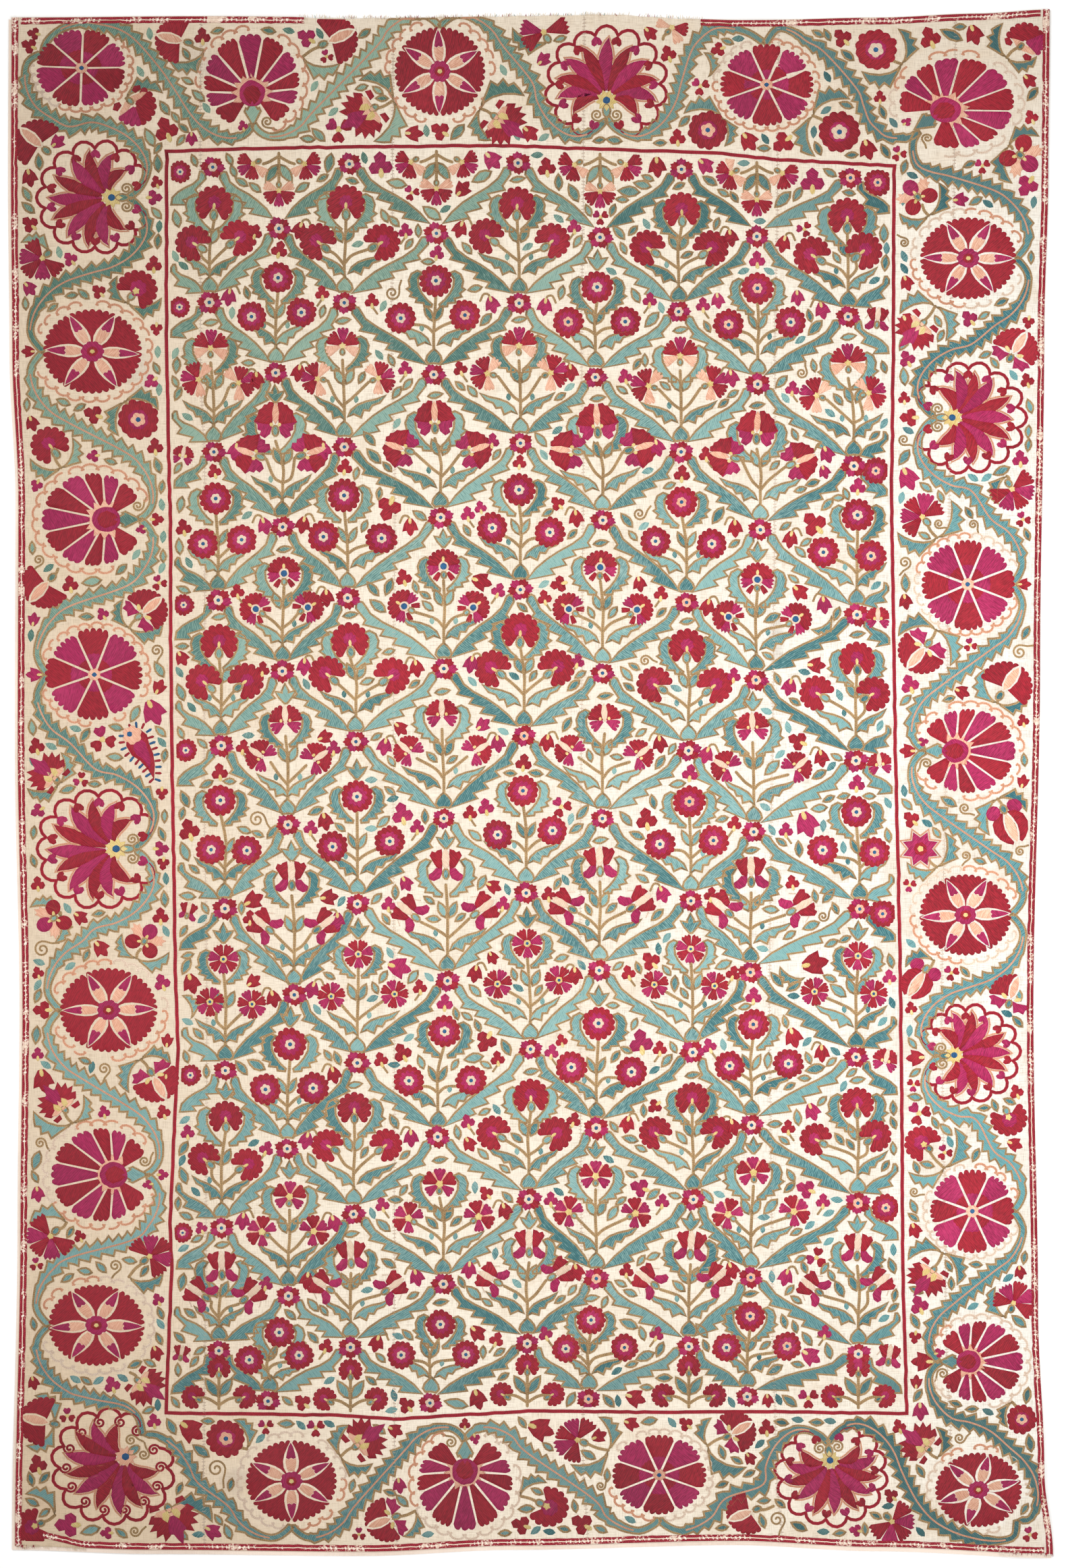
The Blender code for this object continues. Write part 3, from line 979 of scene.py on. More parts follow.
def three_petals(centre, turn, size):
    """Three small petals, apart from each other, round a yellow middle."""
    petal = ((0, 2.5), (5, 7), (7, 12), (4, 15), (0, 13), (-4, 15), (-7, 11), (-4, 6))
    for k, thread in enumerate(("magenta", "crimson", "crimson")):
        couch(thread, at(centre, turn + 120 * k, size, petal))
    bead("yellow", centre, 3.4 * size, 3, 0.3, 0.5, 3, 1)


LEAFLET = ((0, 0), (0.38, 0.22), (0.5, 0.48), (0.3, 0.78), (0, 1), (-0.3, 0.8), (-0.5, 0.5), (-0.36, 0.2))


def leaflet(foot, turn, long, wide, outlined=True):
    """A small leaf standing on its foot."""
    outline = at(foot, turn, 1, np.array(LEAFLET) * (wide, long))
    if outlined:
        outlined_leaf(outline)
    else:
        couch("teal", outline)


CUP_LEAF = (
    (-22, 12), (-29, 15), (-38, 10), (-42, 0), (-40, -10), (-45, -13), (-37, -19), (-40, -24), (-29, -27),
    (-31, -33), (-19, -34), (-18, -39), (-7, -40), (-6, -36), (-14, -29), (-22, -19), (-27, -9), (-28, 3),
)
BASAL_LEAF = (
    (5, 40), (10, 50), (20, 58), (33, 63), (47, 66), (62, 72), (53, 61), (42, 57), (37, 49), (29, 50),
    (25, 39), (14, 44),
)
KITE = ((0, 38), (5, 34), (10, 28), (12, 21), (8, 16), (0, 17), (-8, 16), (-12, 21), (-10, 28), (-5, 34))
CROWN = (
    (0, 22), (5, 12), (5, 9), (15, 11), (10, 2), (2, -7), (-2, -7), (-10, 2), (-15, 11), (-5, 9), (-5, 12),
)


def spray(foot, head, flower, radius, high, room):
    """A spray from the crossing below a cell towards the crossing above it."""
    tall = abs(head - foot)
    turn = bearing((head - foot) / 1j)
    lean = turn * 0.6
    size = min(1.0, tall / 215)
    top = foot + (head - foot) * high + complex(astray(4), astray(3))
    outlined_leaf(at(foot, lean, 1, KITE, draw.choice((1, -1))))
    for side in (1, -1):
        tight = min(1.0, max(102.0, room[side]) / 120)
        basal = at(foot + 5j, lean + side * (1 - tight) * 60, size * (0.25 + 0.75 * tight), BASAL_LEAF, side)
        outlined_leaf(basal)
        cup_size = radius / 25 * (1.02 if radius < 25.5 else 0.9)
        outlined_leaf(at(top + side * 0.5, turn * 0.5, cup_size, CUP_LEAF, side))
    under = top - 1j * radius * 0.8
    fork = foot + 62j * size
    stem(foot + 38j, fork, foot + complex(astray(2), (under - foot).imag * 0.7), under)
    for side in (1, -1):
        far = field_side(-foot.imag - 110, side > 0) - foot.real
        out = min(SIDE_REACH.get(flower, 0.4) * room[side] + astray(2), abs(far) - radius - 5)
        spot = foot + complex(side * out, (SIDE_HIGH.get(flower, 98) + astray(5)) * size)
        facing = -side * draw.uniform(*((66, 82) if flower in (iris, fan) else (48, 62)))
        joint = spot - 0.6j * radius * ray(facing)
        stem(fork + astray(4) * 1j, foot + complex(side * 13, 74) * size, joint)
        flower(spot, facing, radius * 0.96)
        aside, up, leaf_turn, wide = (2, 82, 27, 10) if flower is zinnia else (3, 94, 24, 12)
        leaflet(foot + complex(side * aside, up * size), -side * leaf_turn, 25, wide)
        if draw.random() < 0.6:
            leaflet(foot + complex(side * 17, 66 * size), -side * 8, 10, 6, outlined=False)
    flower(top, turn * 0.5 + astray(4), radius)
    crest = top + 1j * (radius + 9)
    spare = (head - crest).imag - 16
    if spare > 20 and flower is zinnia and draw.random() < 0.7:
        lean = turn + astray(15)
        trefoil(crest, lean, min(1.2, spare / 20), draw.choice(REDS))
    elif spare > 20:
        outlined_leaf(at(crest, turn, min(1.0, spare / 24), CROWN))
    elif spare > 9:
        leaflet(crest - 10, -80, 22, min(9, spare * 0.8))
    for side in (1, -1):
        if room[side] < 84:
            continue
        bud = foot + complex(side * draw.uniform(0.64, 0.7) * room[side], draw.uniform(116, 124) * size)
        pick = draw.random()
        if pick < 0.5:
            stem(bud - side * 15 - 5j, bud - side * 10 + 5j, bud - side * 3 + 5j, bud - 1j, wide=3.4)
            bell(bud, side * draw.uniform(0, 20), 1.05, draw.choice(REDS))
        elif pick < 0.9:
            stem(bud - side * 8 - 24j, bud - side * 3 - 17j, bud - 12j, wide=3.4)
            trefoil(bud - 13j, -side * draw.uniform(-10, 20), 1.05, draw.choice(REDS))
        else:
            leaflet(bud - 12j, -side * 40, 26, 11)


SIDE_REACH = {zinnia: 0.36, iris: 0.39, fan: 0.39}
SIDE_HIGH = {zinnia: 88, iris: 104, fan: 104, ringed: 94, carnation: 98}
SPRAYS = (
    # the flower, its radius, and its height as a share of the cell, by rows of crossings
    (carnation, 28.5, 0.71), (zinnia, 24, 0.655), (fan, 27, 0.69), (iris, 30, 0.67),
    (zinnia, 24, 0.68), (ringed, 25, 0.68), (carnation, 28, 0.70), (poppy, 25, 0.68),
    (zinnia, 24, 0.66), (tulip, 28, 0.68), (small_wheel, 22, 0.68), (zinnia, 24, 0.67),
    (carnation, 26, 0.69), (pansy, 25, 0.68), (tulip, 27, 0.67), (zinnia, 22, 0.66),
)
for number, (flower, radius, high) in enumerate(SPRAYS, 2):
    above = crossings[number - 1]
    for k, foot in enumerate(crossings[number]):
        room = {1: 62.0, -1: 62.0}
        for n in (k - 1, k) if number % 2 == 0 else (k, k + 1):
            if 0 <= n < len(above):
                room[1 if above[n].real > foot.real else -1] = abs(above[n].real - foot.real)
        spray(foot, crossings[number - 2][k], flower, radius * draw.uniform(0.96, 1.03), high, room)


def half_spray(root, long, flower, radius):
    """Three small flowers in a half cell at the field's edge, on stems from the frame."""
    up = 1 if long.imag > 0 else -1
    turn = 90 * up - 90
    stem(root, root + long * 0.5, root + long - 0.5j * up * radius)
    for side in (1, -1):
        spot = root + long * 0.32 + side * 38
        stem(root + long * 0.12, root + side * 14 + long * 0.26, spot - side * radius * 0.6)
        flower(spot, turn - side * 62 * up, radius)
        leaflet(root + long * 0.34 + side * 2, turn - side * 34 * up, 31, 14)
    flower(root + long, turn, radius)


HALF_ROWS = (
    # row, side of the frame, how far past it, the way to the flower, its kind and radius
    (1, "top", -5, -58j, fan, 24), (-2, "bottom", 5, 62j, carnation, 17.5),
)
for row, side, drop, long, flower, radius in HALF_ROWS:
    for crossing in crossings[row]:
        half_spray(complex(crossing.real, drop - frame_at(side, crossing.real)), long, flower, radius)
for number in range(0, 18, 2):
    for crossing, side in ((crossings[number][0], -1), (crossings[number][-1], 1)):
        edge = field_side(-crossing.imag, side > 0)
        small = (20 if side > 0 else 15.5) + astray(1)
        spot = complex(edge - side * (small + 4), crossing.imag - 7)
        draw.choice((zinnia, zinnia, poppy, tulip))(spot, astray(15), small)
sew("sprays")

fence = cloth_fence

# The border's great flowers. Four kinds take turns round the cloth: a wheel of eight wedges, a half-round
# fan on a dark disc, a round flower with six almond windows, and a burst of flames in a looped ring.
GREAT_FLOWERS = (
    # kind, across, down, radius, turn of the side where the vine passes, and height as a share of the width
    ("wheel", 121, 101, 63, 157, 0.85),
    ("fan", 373, 121, 66, 272, 0.99),
    ("window", 652, 106, 64, 90, 0.98),
    ("burst", 899, 120, 82, 270, 0.98),
    ("wheel", 1136, 126, 65, 90, 0.87),
    ("fan", 1418, 153, 79, 218, 0.79),
    ("window", 1435, 383, 68, 0, 0.85),
    ("burst", 1440, 619, 80, 180, 0.94),
    ("wheel", 1434, 866, 65, 0, 0.96),
    ("fan", 1434, 1113, 66, 180, 0.88),
    ("window", 1431, 1356, 65, 0, 0.88),
    ("burst", 1440, 1562, 72, 184, 0.93),
    ("wheel", 1441, 1795, 60, 0, 0.97),
    ("fan", 1452, 2018, 60, 180, 0.93),
    ("window", 1450, 2208, 61, 318, 0.86),
    ("burst", 1233, 2190, 76, 96, 0.95),
    ("wheel", 977, 2186, 66, 270, 0.85),
    ("fan", 689, 2198, 66, 90, 0.99),
    ("window", 432, 2195, 64, 270, 0.90),
    ("burst", 163, 2177, 84, 40, 0.94),
    ("window", 143, 1964, 68, 180, 0.84),
    ("fan", 150, 1741, 69, 0, 0.93),
    ("window", 161, 1497, 69, 180, 0.86),
    ("burst", 141, 1258, 87, 0, 0.93),
    ("wheel", 140, 1000, 68, 180, 0.93),
    ("fan", 138, 770, 71, 0, 0.90),
    ("window", 137, 521, 70, 180, 0.85),
    ("burst", 136, 293, 82, 0, 0.93),
)
RING_GAP = 1.25


def half_plane_wedge(thread, centre, reach, start, end, inner, gap, lobes, depth, tip=None):
    """A wedge between two angles with straight sides a set gap from its neighbours. reach gives the way out
    to the edge at an angle. tip is a second thread, and how far out its share of the wedge goes."""
    each = 4
    step = np.arange(lobes * each + 1)
    middle = reach((start + end) / 2)
    near = min(math.degrees(gap / 2 / max(inner, gap)), (end - start) / 2 - 0.5)
    far = math.degrees(gap / 2 / middle)
    swell = np.sin(math.pi * (step % each) / each) ** 0.7
    angles = start + far + (end - start - 2 * far) * step / (lobes * each)
    dip = np.repeat([draw.uniform(0.5, 1.3) for _ in range(lobes + 1)], each)[: len(step)]
    out = np.array([reach(a) for a in angles]) - depth * (1 - swell) * dip
    out -= 4.5 * np.abs(2 * step / (lobes * each) - 1) ** 5
    ends = inner * ray([end - near, start + near])
    couch(thread, centre + np.append(out * ray(angles), ends))
    if tip:
        thread, share = tip
        cut = (1 - share) * inner + share * middle
        aside = math.degrees(gap / 2 / cut)
        rim = cut * (1 + 0.05 * (np.arange(7) % 2)) * ray(np.linspace(start + aside, end - aside, 7))
        couch(thread, centre + np.append(rim, ends) * 0.998, level=1)


WORN = 0.12
LOOP_TURNS = np.array([0.1, 0, 0.06, 0.26, 0.5, 0.74, 0.94, 1, 0.9])
LOOP_REACH = np.array([0.93, 0.94, 0.98, 1.01, 1.02, 1.01, 0.98, 0.94, 0.93])


def looped_ring(centre, radius, opening, width, loops):
    """A ring of open peach arcs, lost here and there, with a gap of some degrees at an angle."""
    lost = tone = 0
    for k in range(loops):
        lost = draw.random() < (0.5 if lost else WORN * 0.7)
        if k % 6 == 0:
            tone = draw.random() + (0.45 if centre.imag < -1900 else 0.15 if centre.real > 1000 else 0.0)
        if lost:
            continue
        start = opening + width / 2 + (360 - width) * k / loops + astray(1)
        angle = start + (360 - width) / loops * draw.uniform(0.92, 1.04) * LOOP_TURNS
        reach = radius * draw.uniform(0.99, 1.01) * LOOP_REACH
        kept = 3 if draw.random() < WORN else 0
        lay("peach_row" if tone < 0.8 else "pale_row", centre + (reach * ray(angle))[kept:], 3.4)


HEART = ((0, 0), (-7, -6), (-8, -12), (-5, -15), (-1, -13), (0, -11), (2, -14), (6, -15), (8, -11), (6, -5))


def scroll(start, turn, size, side=1):
    """A tan stem that curls up into a spiral."""
    angle = np.linspace(0, 3.1 * math.pi, 24)
    spiral = (1.02 - 0.86 * angle / angle[-1]) * np.exp(1j * (angle - math.pi / 2))
    line = size * np.append([-1.6 - 0.5j, -0.8 - 0.12j], spiral - spiral[0])
    lay("tan_row", start + (side * line.real + 1j * line.imag) * ray(turn), 3.0)


def wheel(centre, radius, turn):
    bounds = [turn - 22.5 + 45 * k + astray(2.5) for k in range(8)]
    bounds.append(bounds[0] + 360)
    for k in range(8):
        bulge = radius * draw.uniform(1.03, 1.09)
        tip = REDS[1 - k % 2], draw.uniform(0.25, 0.4)
        half_plane_wedge(REDS[k % 2], centre, lambda a: bulge, *bounds[k : k + 2], 9, 5.0, 5, 5.5, tip)
    bead("peach", centre, 9.5, 7, 0.15, 0, 3, 1)
    bead("blue", centre, 3.6, 4, 0.1, 0.8, 2, 2)
    looped_ring(centre, radius * 1.2, turn, 10, 26)


# The outlines of a window, of its tip and of its base, in hundredths of its width and length.
WINDOW = (
    (0, 0), (30, 4), (46, 20), (50, 40), (42, 62), (22, 84), (0, 102), (-20, 84), (-40, 62), (-50, 40),
    (-47, 20), (-30, 4),
)
WINDOW_TIP = (
    (-50, 50), (-25, 46), (0, 51), (25, 47), (50, 50), (40, 66), (20, 86), (0, 97), (-20, 86), (-40, 66),
)
WINDOW_BASE = (
    (-30, 8), (30, 8), (46, 22), (52, 36), (50, 48), (25, 45), (0, 49), (-25, 44), (-50, 48), (-52, 36),
    (-46, 22),
)


WINDOW_PARTS = (
    ("cloth", WINDOW, 1, 1),
    ("magenta", WINDOW_TIP, 0.62, 2),
    ("peach", WINDOW_BASE, 0.66, 2),
)


def window_flower(centre, radius, turn):
    """A crimson round with six almond windows, parted from it by the cotton."""
    step = np.arange(6 * 41)
    swell = np.abs(np.sin(math.pi * (step % 41) / 41 * 7)) ** 0.6
    reach = 0.945 + 0.1 * swell - 0.04 * np.isin(step % 41, (0, 1, 40))
    couch("crimson", centre + radius * reach * ray(turn + 60 * step / 41))
    for k in range(6):
        angle = turn + 60 * k + astray(5)
        foot = centre + radius * 0.19 * ray(angle)
        long, wide = radius * draw.uniform(0.8, 0.84), draw.uniform(20, 23)
        for thread, table, narrow, level in WINDOW_PARTS:
            couch(thread, at(foot, angle - 90, 0.01, np.array(table) * (wide * narrow, long)), level)
    bead("magenta", centre, radius * 0.25, 10, 0.12, 0.3, 3, 3)
    bead("crimson", centre, radius * 0.12, 7, 0.1, 0.3, 3, 4)
    bead("yellow", centre, 3.6, 5, 0.15, 0.3, 2, 5)
    looped_ring(centre, radius * RING_GAP, turn, 14, 24)


FAN_BOUNDS = (-147, -109, -86, -64, -39, -13, 13, 39, 64, 86, 109, 147)
FAN_HEART = (
    (-20, 2), (-12, 14), (2, 18), (14, 12), (20, -2), (12, -18), (4, -25), (0, -16), (-5, -25), (-13, -17),
)
FAN_FOOT = (
    (0, -12), (8, -24), (10, -22), (12, -27), (7, -36), (0, -49), (-7, -36), (-12, -27), (-10, -22),
    (-8, -24),
)


def fan_flower(centre, radius, turn):
    """Eleven wedges in two reds that spread from a dark disc near the rim, with a leaf at its foot."""
    opening = turn + 180
    off = ray(turn) * radius * 0.27
    hub = centre + off

    def reach(angle):
        along = (off.conjugate() * ray(angle)).real
        return -along + math.sqrt(along**2 - abs(off) ** 2 + (1.07 * radius) ** 2)

    for k, (start, end) in enumerate(zip(FAN_BOUNDS, FAN_BOUNDS[1:])):
        inner, lobes = radius * (0.3 if k in (0, 10) else 0.34), 4 if k in (4, 6) else 3
        thread = REDS[k % 2]
        half_plane_wedge(thread, hub, reach, opening + start, opening + end, inner, 4.6, lobes, 4.2)
    k = np.arange(19)
    zigzag = radius * np.where(k % 2, 0.47 + 0.05 * (k == 9), 0.33) * ray(opening - 128 + 256 * k / 18)
    couch("peach", hub + np.append(zigzag, 0))
    bead("magenta", hub, radius * 0.29, 9, 0.02, 0, 3, 2)
    couch("crimson", at(hub, opening - 90, radius / 100, FAN_HEART), level=3)
    outlined_leaf(at(hub, opening - 90, radius / 66, FAN_FOOT))
    looped_ring(centre, radius * RING_GAP, turn, 44, 20)
    scroll(at(hub, opening - 90, radius / 66, (21, -52)), opening - 90, 8.5, -1)
    trefoil(at(hub, opening - 90, radius / 66, (-14, -54)), opening - 78, 0.75, "magenta")


FLAMES = (
    # angle of the tip from the opening, length and half width as shares of the radius, bend
    (0, 1.12, 0.1, 0.1), (22, 1.1, 0.092, -0.12), (43, 1.06, 0.098, -0.18), (64, 1.0, 0.09, -0.26),
    (86, 0.9, 0.092, -0.34), (112, 0.66, 0.09, -0.42), (-22, 1.1, 0.092, 0.14), (-44, 1.05, 0.098, 0.2),
    (-66, 0.98, 0.09, 0.28), (-89, 0.86, 0.092, 0.36), (-116, 0.62, 0.09, 0.42),
)


FLAME_ORDER = (0, 2, 4, 7, 9, 1, 3, 5, 6, 8, 10)
FLAME_SPINE = np.array([0.16, 0.32, 0.5, 0.68, 0.82, 0.93])
FLAME_HALF = np.array([0.22, 0.62, 1.06, 1.22, 0.86, 0.34])
ARCH = np.array([0, 0.1, 0.28, 0.5, 0.72, 0.9])


def burst(centre, radius, turn, hearts=True):
    """Flames in two reds from a small star, in a looped ring with a heart or a curl at each cusp."""
    opening = turn + 180
    star = centre + ray(turn) * radius * 0.36
    flames = []
    for aside, long, fat, bend in FLAMES:
        way = ray(opening + aside + astray(2))
        tip = radius * long * draw.uniform(0.97, 1.05)
        spine = tip * FLAME_SPINE + 1.6j * radius * bend * FLAME_SPINE * (1 - FLAME_SPINE)
        half = 1j * radius * fat * FLAME_HALF
        flame = [*(spine + half), tip - 0.12j * radius * bend, *(spine - half)[::-1]]
        flames.append(star + way * np.array(flame))
    for flame in flames:
        trim = flame[1:-1]
        out, normal = trim - trim.mean(), 1j * np.gradient(trim)
        lay("peach_row", trim + out / np.abs(out) * 0.1 + normal / np.abs(normal) * 2.6, 2.8)
    for place, k in enumerate(FLAME_ORDER):
        couch("magenta" if place < 5 else "crimson", flames[k])
    k = np.arange(18)
    points = star + radius * np.where(k % 2, 0.13, 0.2) * ray(opening + 20 * (k + 1))
    couch("yellow" if hearts else "peach", points, level=1)
    bead("blue", star, radius * 0.065, 6, 0.05, 0, 2, 2)
    calyx(star, opening - 90, radius, -0.19, 0.14, 0.24)
    middle = centre + ray(turn) * radius * 0.1
    reach = np.array([0.84, 0.9, *[0.93] * 10, 0.9, 0.84])
    cusps = middle + 1.03 * radius * reach * ray(opening - 162.5 + 25 * np.arange(14))
    line = []
    for start, end in zip(cusps, cusps[1:]):
        out = (start + end) / 2 - middle
        bulge = out / abs(out) * abs(end - start) * draw.uniform(0.36, 0.46)
        line += [*(start + (end - start) * ARCH + bulge * np.sin(math.pi * ARCH) ** 0.6)]
    lay("crimson_row", [*line, cusps[-1]], 4.8)
    for k, cusp in enumerate(cusps):
        inward = (middle - cusp) / abs(middle - cusp)
        if hearts:
            turned = bearing(inward) + 90
            couch(REDS[k % 2], at(cusp + inward * 1.5, turned, radius / 88, HEART))
        else:
            curl = np.linspace(0, 2.9 * math.pi, 20)
            spiral = 1 - (1 - 0.8 * curl / curl[-1]) * np.exp(1j * curl)
            lay("crimson_row", cusp + inward * 9 * spiral, 3.3)
    for side in (1, -1):
        scroll(at(star, opening - 90, radius / 80, (side * 14, -30)), opening - 90, 8.5, side)


ARM = {
    # the vine's way past each kind, along and away as shares of the radius, from the cusp outwards
    "wheel": ((0, 0.97), (0.08, 1.08), (0.28, 1.2), (0.5, 1.25), (0.85, 1.15), (1.2, 0.92), (1.5, 0.52)),
    "window": ((0, 1.02), (0.1, 1.14), (0.3, 1.28), (0.52, 1.31), (0.88, 1.2), (1.22, 0.94), (1.48, 0.56)),
    "fan": ((0, 0.95), (0.12, 1.12), (0.36, 1.25), (0.72, 1.22), (1.08, 1.03), (1.4, 0.68)),
    "burst": (
        (0, 0.66), (0.14, 0.84), (0.36, 0.97), (0.6, 1.0), (0.84, 0.9), (1.08, 0.68), (1.26, 0.36), (1.36, 0),
    ),
}
VINE_THIN = {"wheel": 50, "window": 44, "fan": 36, "burst": 40}
TOOTH_PITCH = 17.0
VINE_STALK = 4.6
VINE_BODY = 6.7
VINE_TOOTH = 14.6
CORNER_WAYS = {
    # by the flower's number: the vine's way on from its cusp, then its way back, as across and down
    1: (((64, 78), (70, 61), (91, 43), (119, 34), (146, 36), (177, 44), (202, 61), (236, 100), (257, 130)),
        ((64, 78), (43, 90), (37, 110), (40, 134), (53, 158), (78, 176), (103, 188))),
    5: (((1133, 67), (1152, 43), (1176, 48), (1196, 62), (1222, 78)),
        ((1133, 65), (1110, 50), (1085, 43), (1059, 43), (1036, 60), (1023, 80))),
    6: (((1362, 194), (1354, 208), (1353, 226), (1360, 245), (1380, 255), (1410, 262)),
        ((1362, 194), (1350, 203), (1330, 205), (1312, 202), (1300, 192), (1288, 179), (1279, 155),
         (1269, 131))),
    15: (((1507, 2252), (1503, 2276), (1484, 2283), (1463, 2283), (1445, 2280), (1417, 2272), (1387, 2256),
          (1367, 2236), (1352, 2213)),
         ((1507, 2252), (1524, 2252), (1533, 2240), (1538, 2222), (1537, 2204), (1531, 2185), (1517, 2164),
          (1497, 2146), (1468, 2121), (1438, 2108))),
    20: (((212, 2127), (205, 2100), (190, 2086), (173, 2080), (146, 2075), (112, 2067)),
         ((212, 2127), (226, 2126), (240, 2130), (254, 2140), (267, 2152), (281, 2174), (294, 2198))),
}


def resample(line, step):
    """Evenly spaced points on a line, with the unit way and the run at each."""
    run = run_along(line)
    even = np.linspace(0, run[-1], max(3, int(run[-1] / step)) + 1)
    points = np.interp(even, run, line)
    way = np.gradient(points)
    return points, way / np.abs(way), even


def vine_arm(knots, start_thin, end_thin):
    """A toothed band of leaf along a line, narrow and smooth at both ends, with a pale rib."""
    points, way, run = resample(curve(*knots, each=10), 1.5)
    long = run[-1]
    stations = 0, start_thin, start_thin + 45, long - end_thin - 45, long - end_thin, long

    def spot(s, off):
        return np.interp(s, run, points) + off * 1j * np.interp(s, run, way)

    sides = []
    for side in (1, -1):
        line, s, shift = [], 2.0, draw.uniform(0, 6)
        while s < long - 2:
            grow = np.interp(s, stations, (0, 0.15, 1, 1, 0.15, 0))
            if grow <= 0.16:
                line.append(spot(s, side * VINE_STALK))
                s += 7
                continue
            body, tooth = (VINE_STALK + (wide - VINE_STALK) * grow for wide in (VINE_BODY, VINE_TOOTH))
            pitch = TOOTH_PITCH * draw.uniform(0.78, 1.2) + shift
            shift = 0
            line.append(spot(s, side * body))
            line.append(spot(min(long - 3, s + pitch * 0.45), side * (body + (tooth - body) * 0.55)))
            line.append(spot(min(long - 3, s + pitch * 0.78), side * tooth * draw.uniform(0.92, 1.1)))
            s += pitch
        sides.append(line)
    outlined_leaf([*sides[0], spot(long, 0), *sides[1][::-1], spot(0, 0)])
    rib = np.arange(max(30, start_thin * 0.9), long - max(30, end_thin * 0.9), 6)
    lay("peach_row", spot(rib, 0), 2.4, level=1)


great = [(kind, complex(across, -down), *how) for kind, across, down, *how in GREAT_FLOWERS]
ways = []
for number, (kind, centre, radius, turn, tall) in enumerate(great, 1):
    first = 1 if kind in ("wheel", "window") else -1
    pair = [at(centre, turn - 90, radius, ARM[kind], side) for side in (first, -first)]
    if number in CORNER_WAYS:
        pair = [[complex(a, -d) for a, d in way] for way in CORNER_WAYS[number]]
    ways.append(pair)
for k, (leaving, _) in enumerate(ways):
    after = (k + 1) % len(ways)
    thin, next_thin = (VINE_THIN[great[n][0]] for n in (k, after))
    vine_arm([*leaving, *ways[after][1][::-1]], thin, next_thin)
vines = [item[1] for item in fills]


def on_vine(line):
    return any(inside(line, vine).mean() > 0.25 for vine in vines)


def squash(centre, share, first_fill, first_line):
    """Flattens what has been drawn since a count of fills and lines, about a centre."""
    for item in fills[first_fill:] + lines[first_line:]:
        item[1].imag += (item[1].imag - centre.imag) * (share - 1)


for number, (kind, centre, radius, turn, tall) in enumerate(great, 1):
    first_fill, first_line = len(fills), len(lines)
    if kind == "burst":
        burst(centre, radius, turn, hearts=number != 20)
    else:
        {"wheel": wheel, "window": window_flower, "fan": fan_flower}[kind](centre, radius, turn)
    squash(centre, tall, first_fill, first_line)
    lines[first_line:] = [item for item in lines[first_line:] if item[4] or not on_vine(item[1])]
sew("border")

# The border's smaller flowers. Two stand on each great flower on the side away from the vine, each
# between two toothed leaves that curve round it.
GAP_CELL = 2.0
# how far past its vine's cusp a great flower's bud stands, as a share of the radius
CUSP_BUD = {"fan": 0.25, "burst": 0.34, "wheel": 0.2, "window": 0.22}
# the ways to the cells beside one and then to those at its corners
NEAR = ((1, 0), (-1, 0), (0, 1), (0, -1), (1, 1), (-1, -1), (1, -1), (-1, 1))


class Gaps:
    """Which places of the chart are taken. Its edge cells always are."""

    def __init__(self, free):
        down, across = np.mgrid[0 : int(2324 / GAP_CELL), 0 : int(1580 / GAP_CELL)] * GAP_CELL
        self.places = across - 1j * down
        self.busy = ~free(across, down)

    def clip(self, rows, columns):
        tall, wide = self.busy.shape
        return np.clip(rows, 0, tall - 1), np.clip(columns, 0, wide - 1)

    def cells(self, points):
        return self.clip(*((part / GAP_CELL).round().astype(int) for part in (-points.imag, points.real)))

    def mark(self, line, margin, closed=True, filled=True):
        """Takes the places near a line, and those inside it when it is filled."""
        ring = np.append(line, line[0]) if closed else line
        run = run_along(ring)
        even = np.linspace(0, run[-1], int(run[-1] / 2.5) + 2)
        dense = np.interp(even, run, ring.real) + 1j * np.interp(even, run, ring.imag)
        reach = np.arange(-int(margin / GAP_CELL) - 1, int(margin / GAP_CELL) + 2)
        aside, up = (part.ravel() for part in np.meshgrid(reach, reach))
        near = np.hypot(aside, up) * GAP_CELL <= margin
        rows, columns = self.cells(dense)
        self.busy[self.clip(rows[:, None] + up[near], columns[:, None] + aside[near])] = True
        if filled:
            across, high = line.real, line.imag
            corners = np.array([complex(across.min(), high.max()), complex(across.max(), high.min())])
            (top, bottom), (left, right) = self.cells(corners)
            box = np.s_[top : bottom + 1, left : right + 1]
            self.busy[box] |= inside(self.places[box].ravel(), line).reshape(self.busy[box].shape)

    def ridges(self, least):
        """The middles of the free gaps, the widest first."""
        busy, depth = self.busy, np.zeros(self.busy.shape, int)
        for step in range(14):
            depth += ~busy
            shifts = NEAR if step % 2 else NEAR[:4]
            busy = busy | np.any([np.roll(busy, shift, (0, 1)) for shift in shifts], axis=0)
        top = depth >= least
        for shift in NEAR[:4]:
            top &= depth >= np.roll(depth, shift, (0, 1))
        middles = [*zip(depth[top].tolist(), self.places[top].tolist())]
        draw.shuffle(middles)
        return [place for _, place in sorted(middles, key=lambda item: -item[0])]

    def fit(self, middle, outline, sizes):
        """The first size, and a turn, at which an outline about its middle is clear."""
        for size in sizes:
            turns = draw.uniform(0, 30) + 30 * np.arange(12)
            taken = self.busy[self.cells(middle + size * ray(turns)[:, None] * outline)].any(axis=1)
            if not taken.all():
                return size, turns[np.argmin(taken)]
        return None


def within(across, down, left, right, top, bottom, room):
    """Whether places lie between four edges, some way from them."""
    return (across > left + room) & (across < right - room) & (down > top + room) & (down < bottom - room)


def in_frame(across, down, room):
    uprights = field_side(down, False), field_side(down, True)
    return within(across, down, *uprights, frame_at("top", across), frame_at("bottom", across), room)


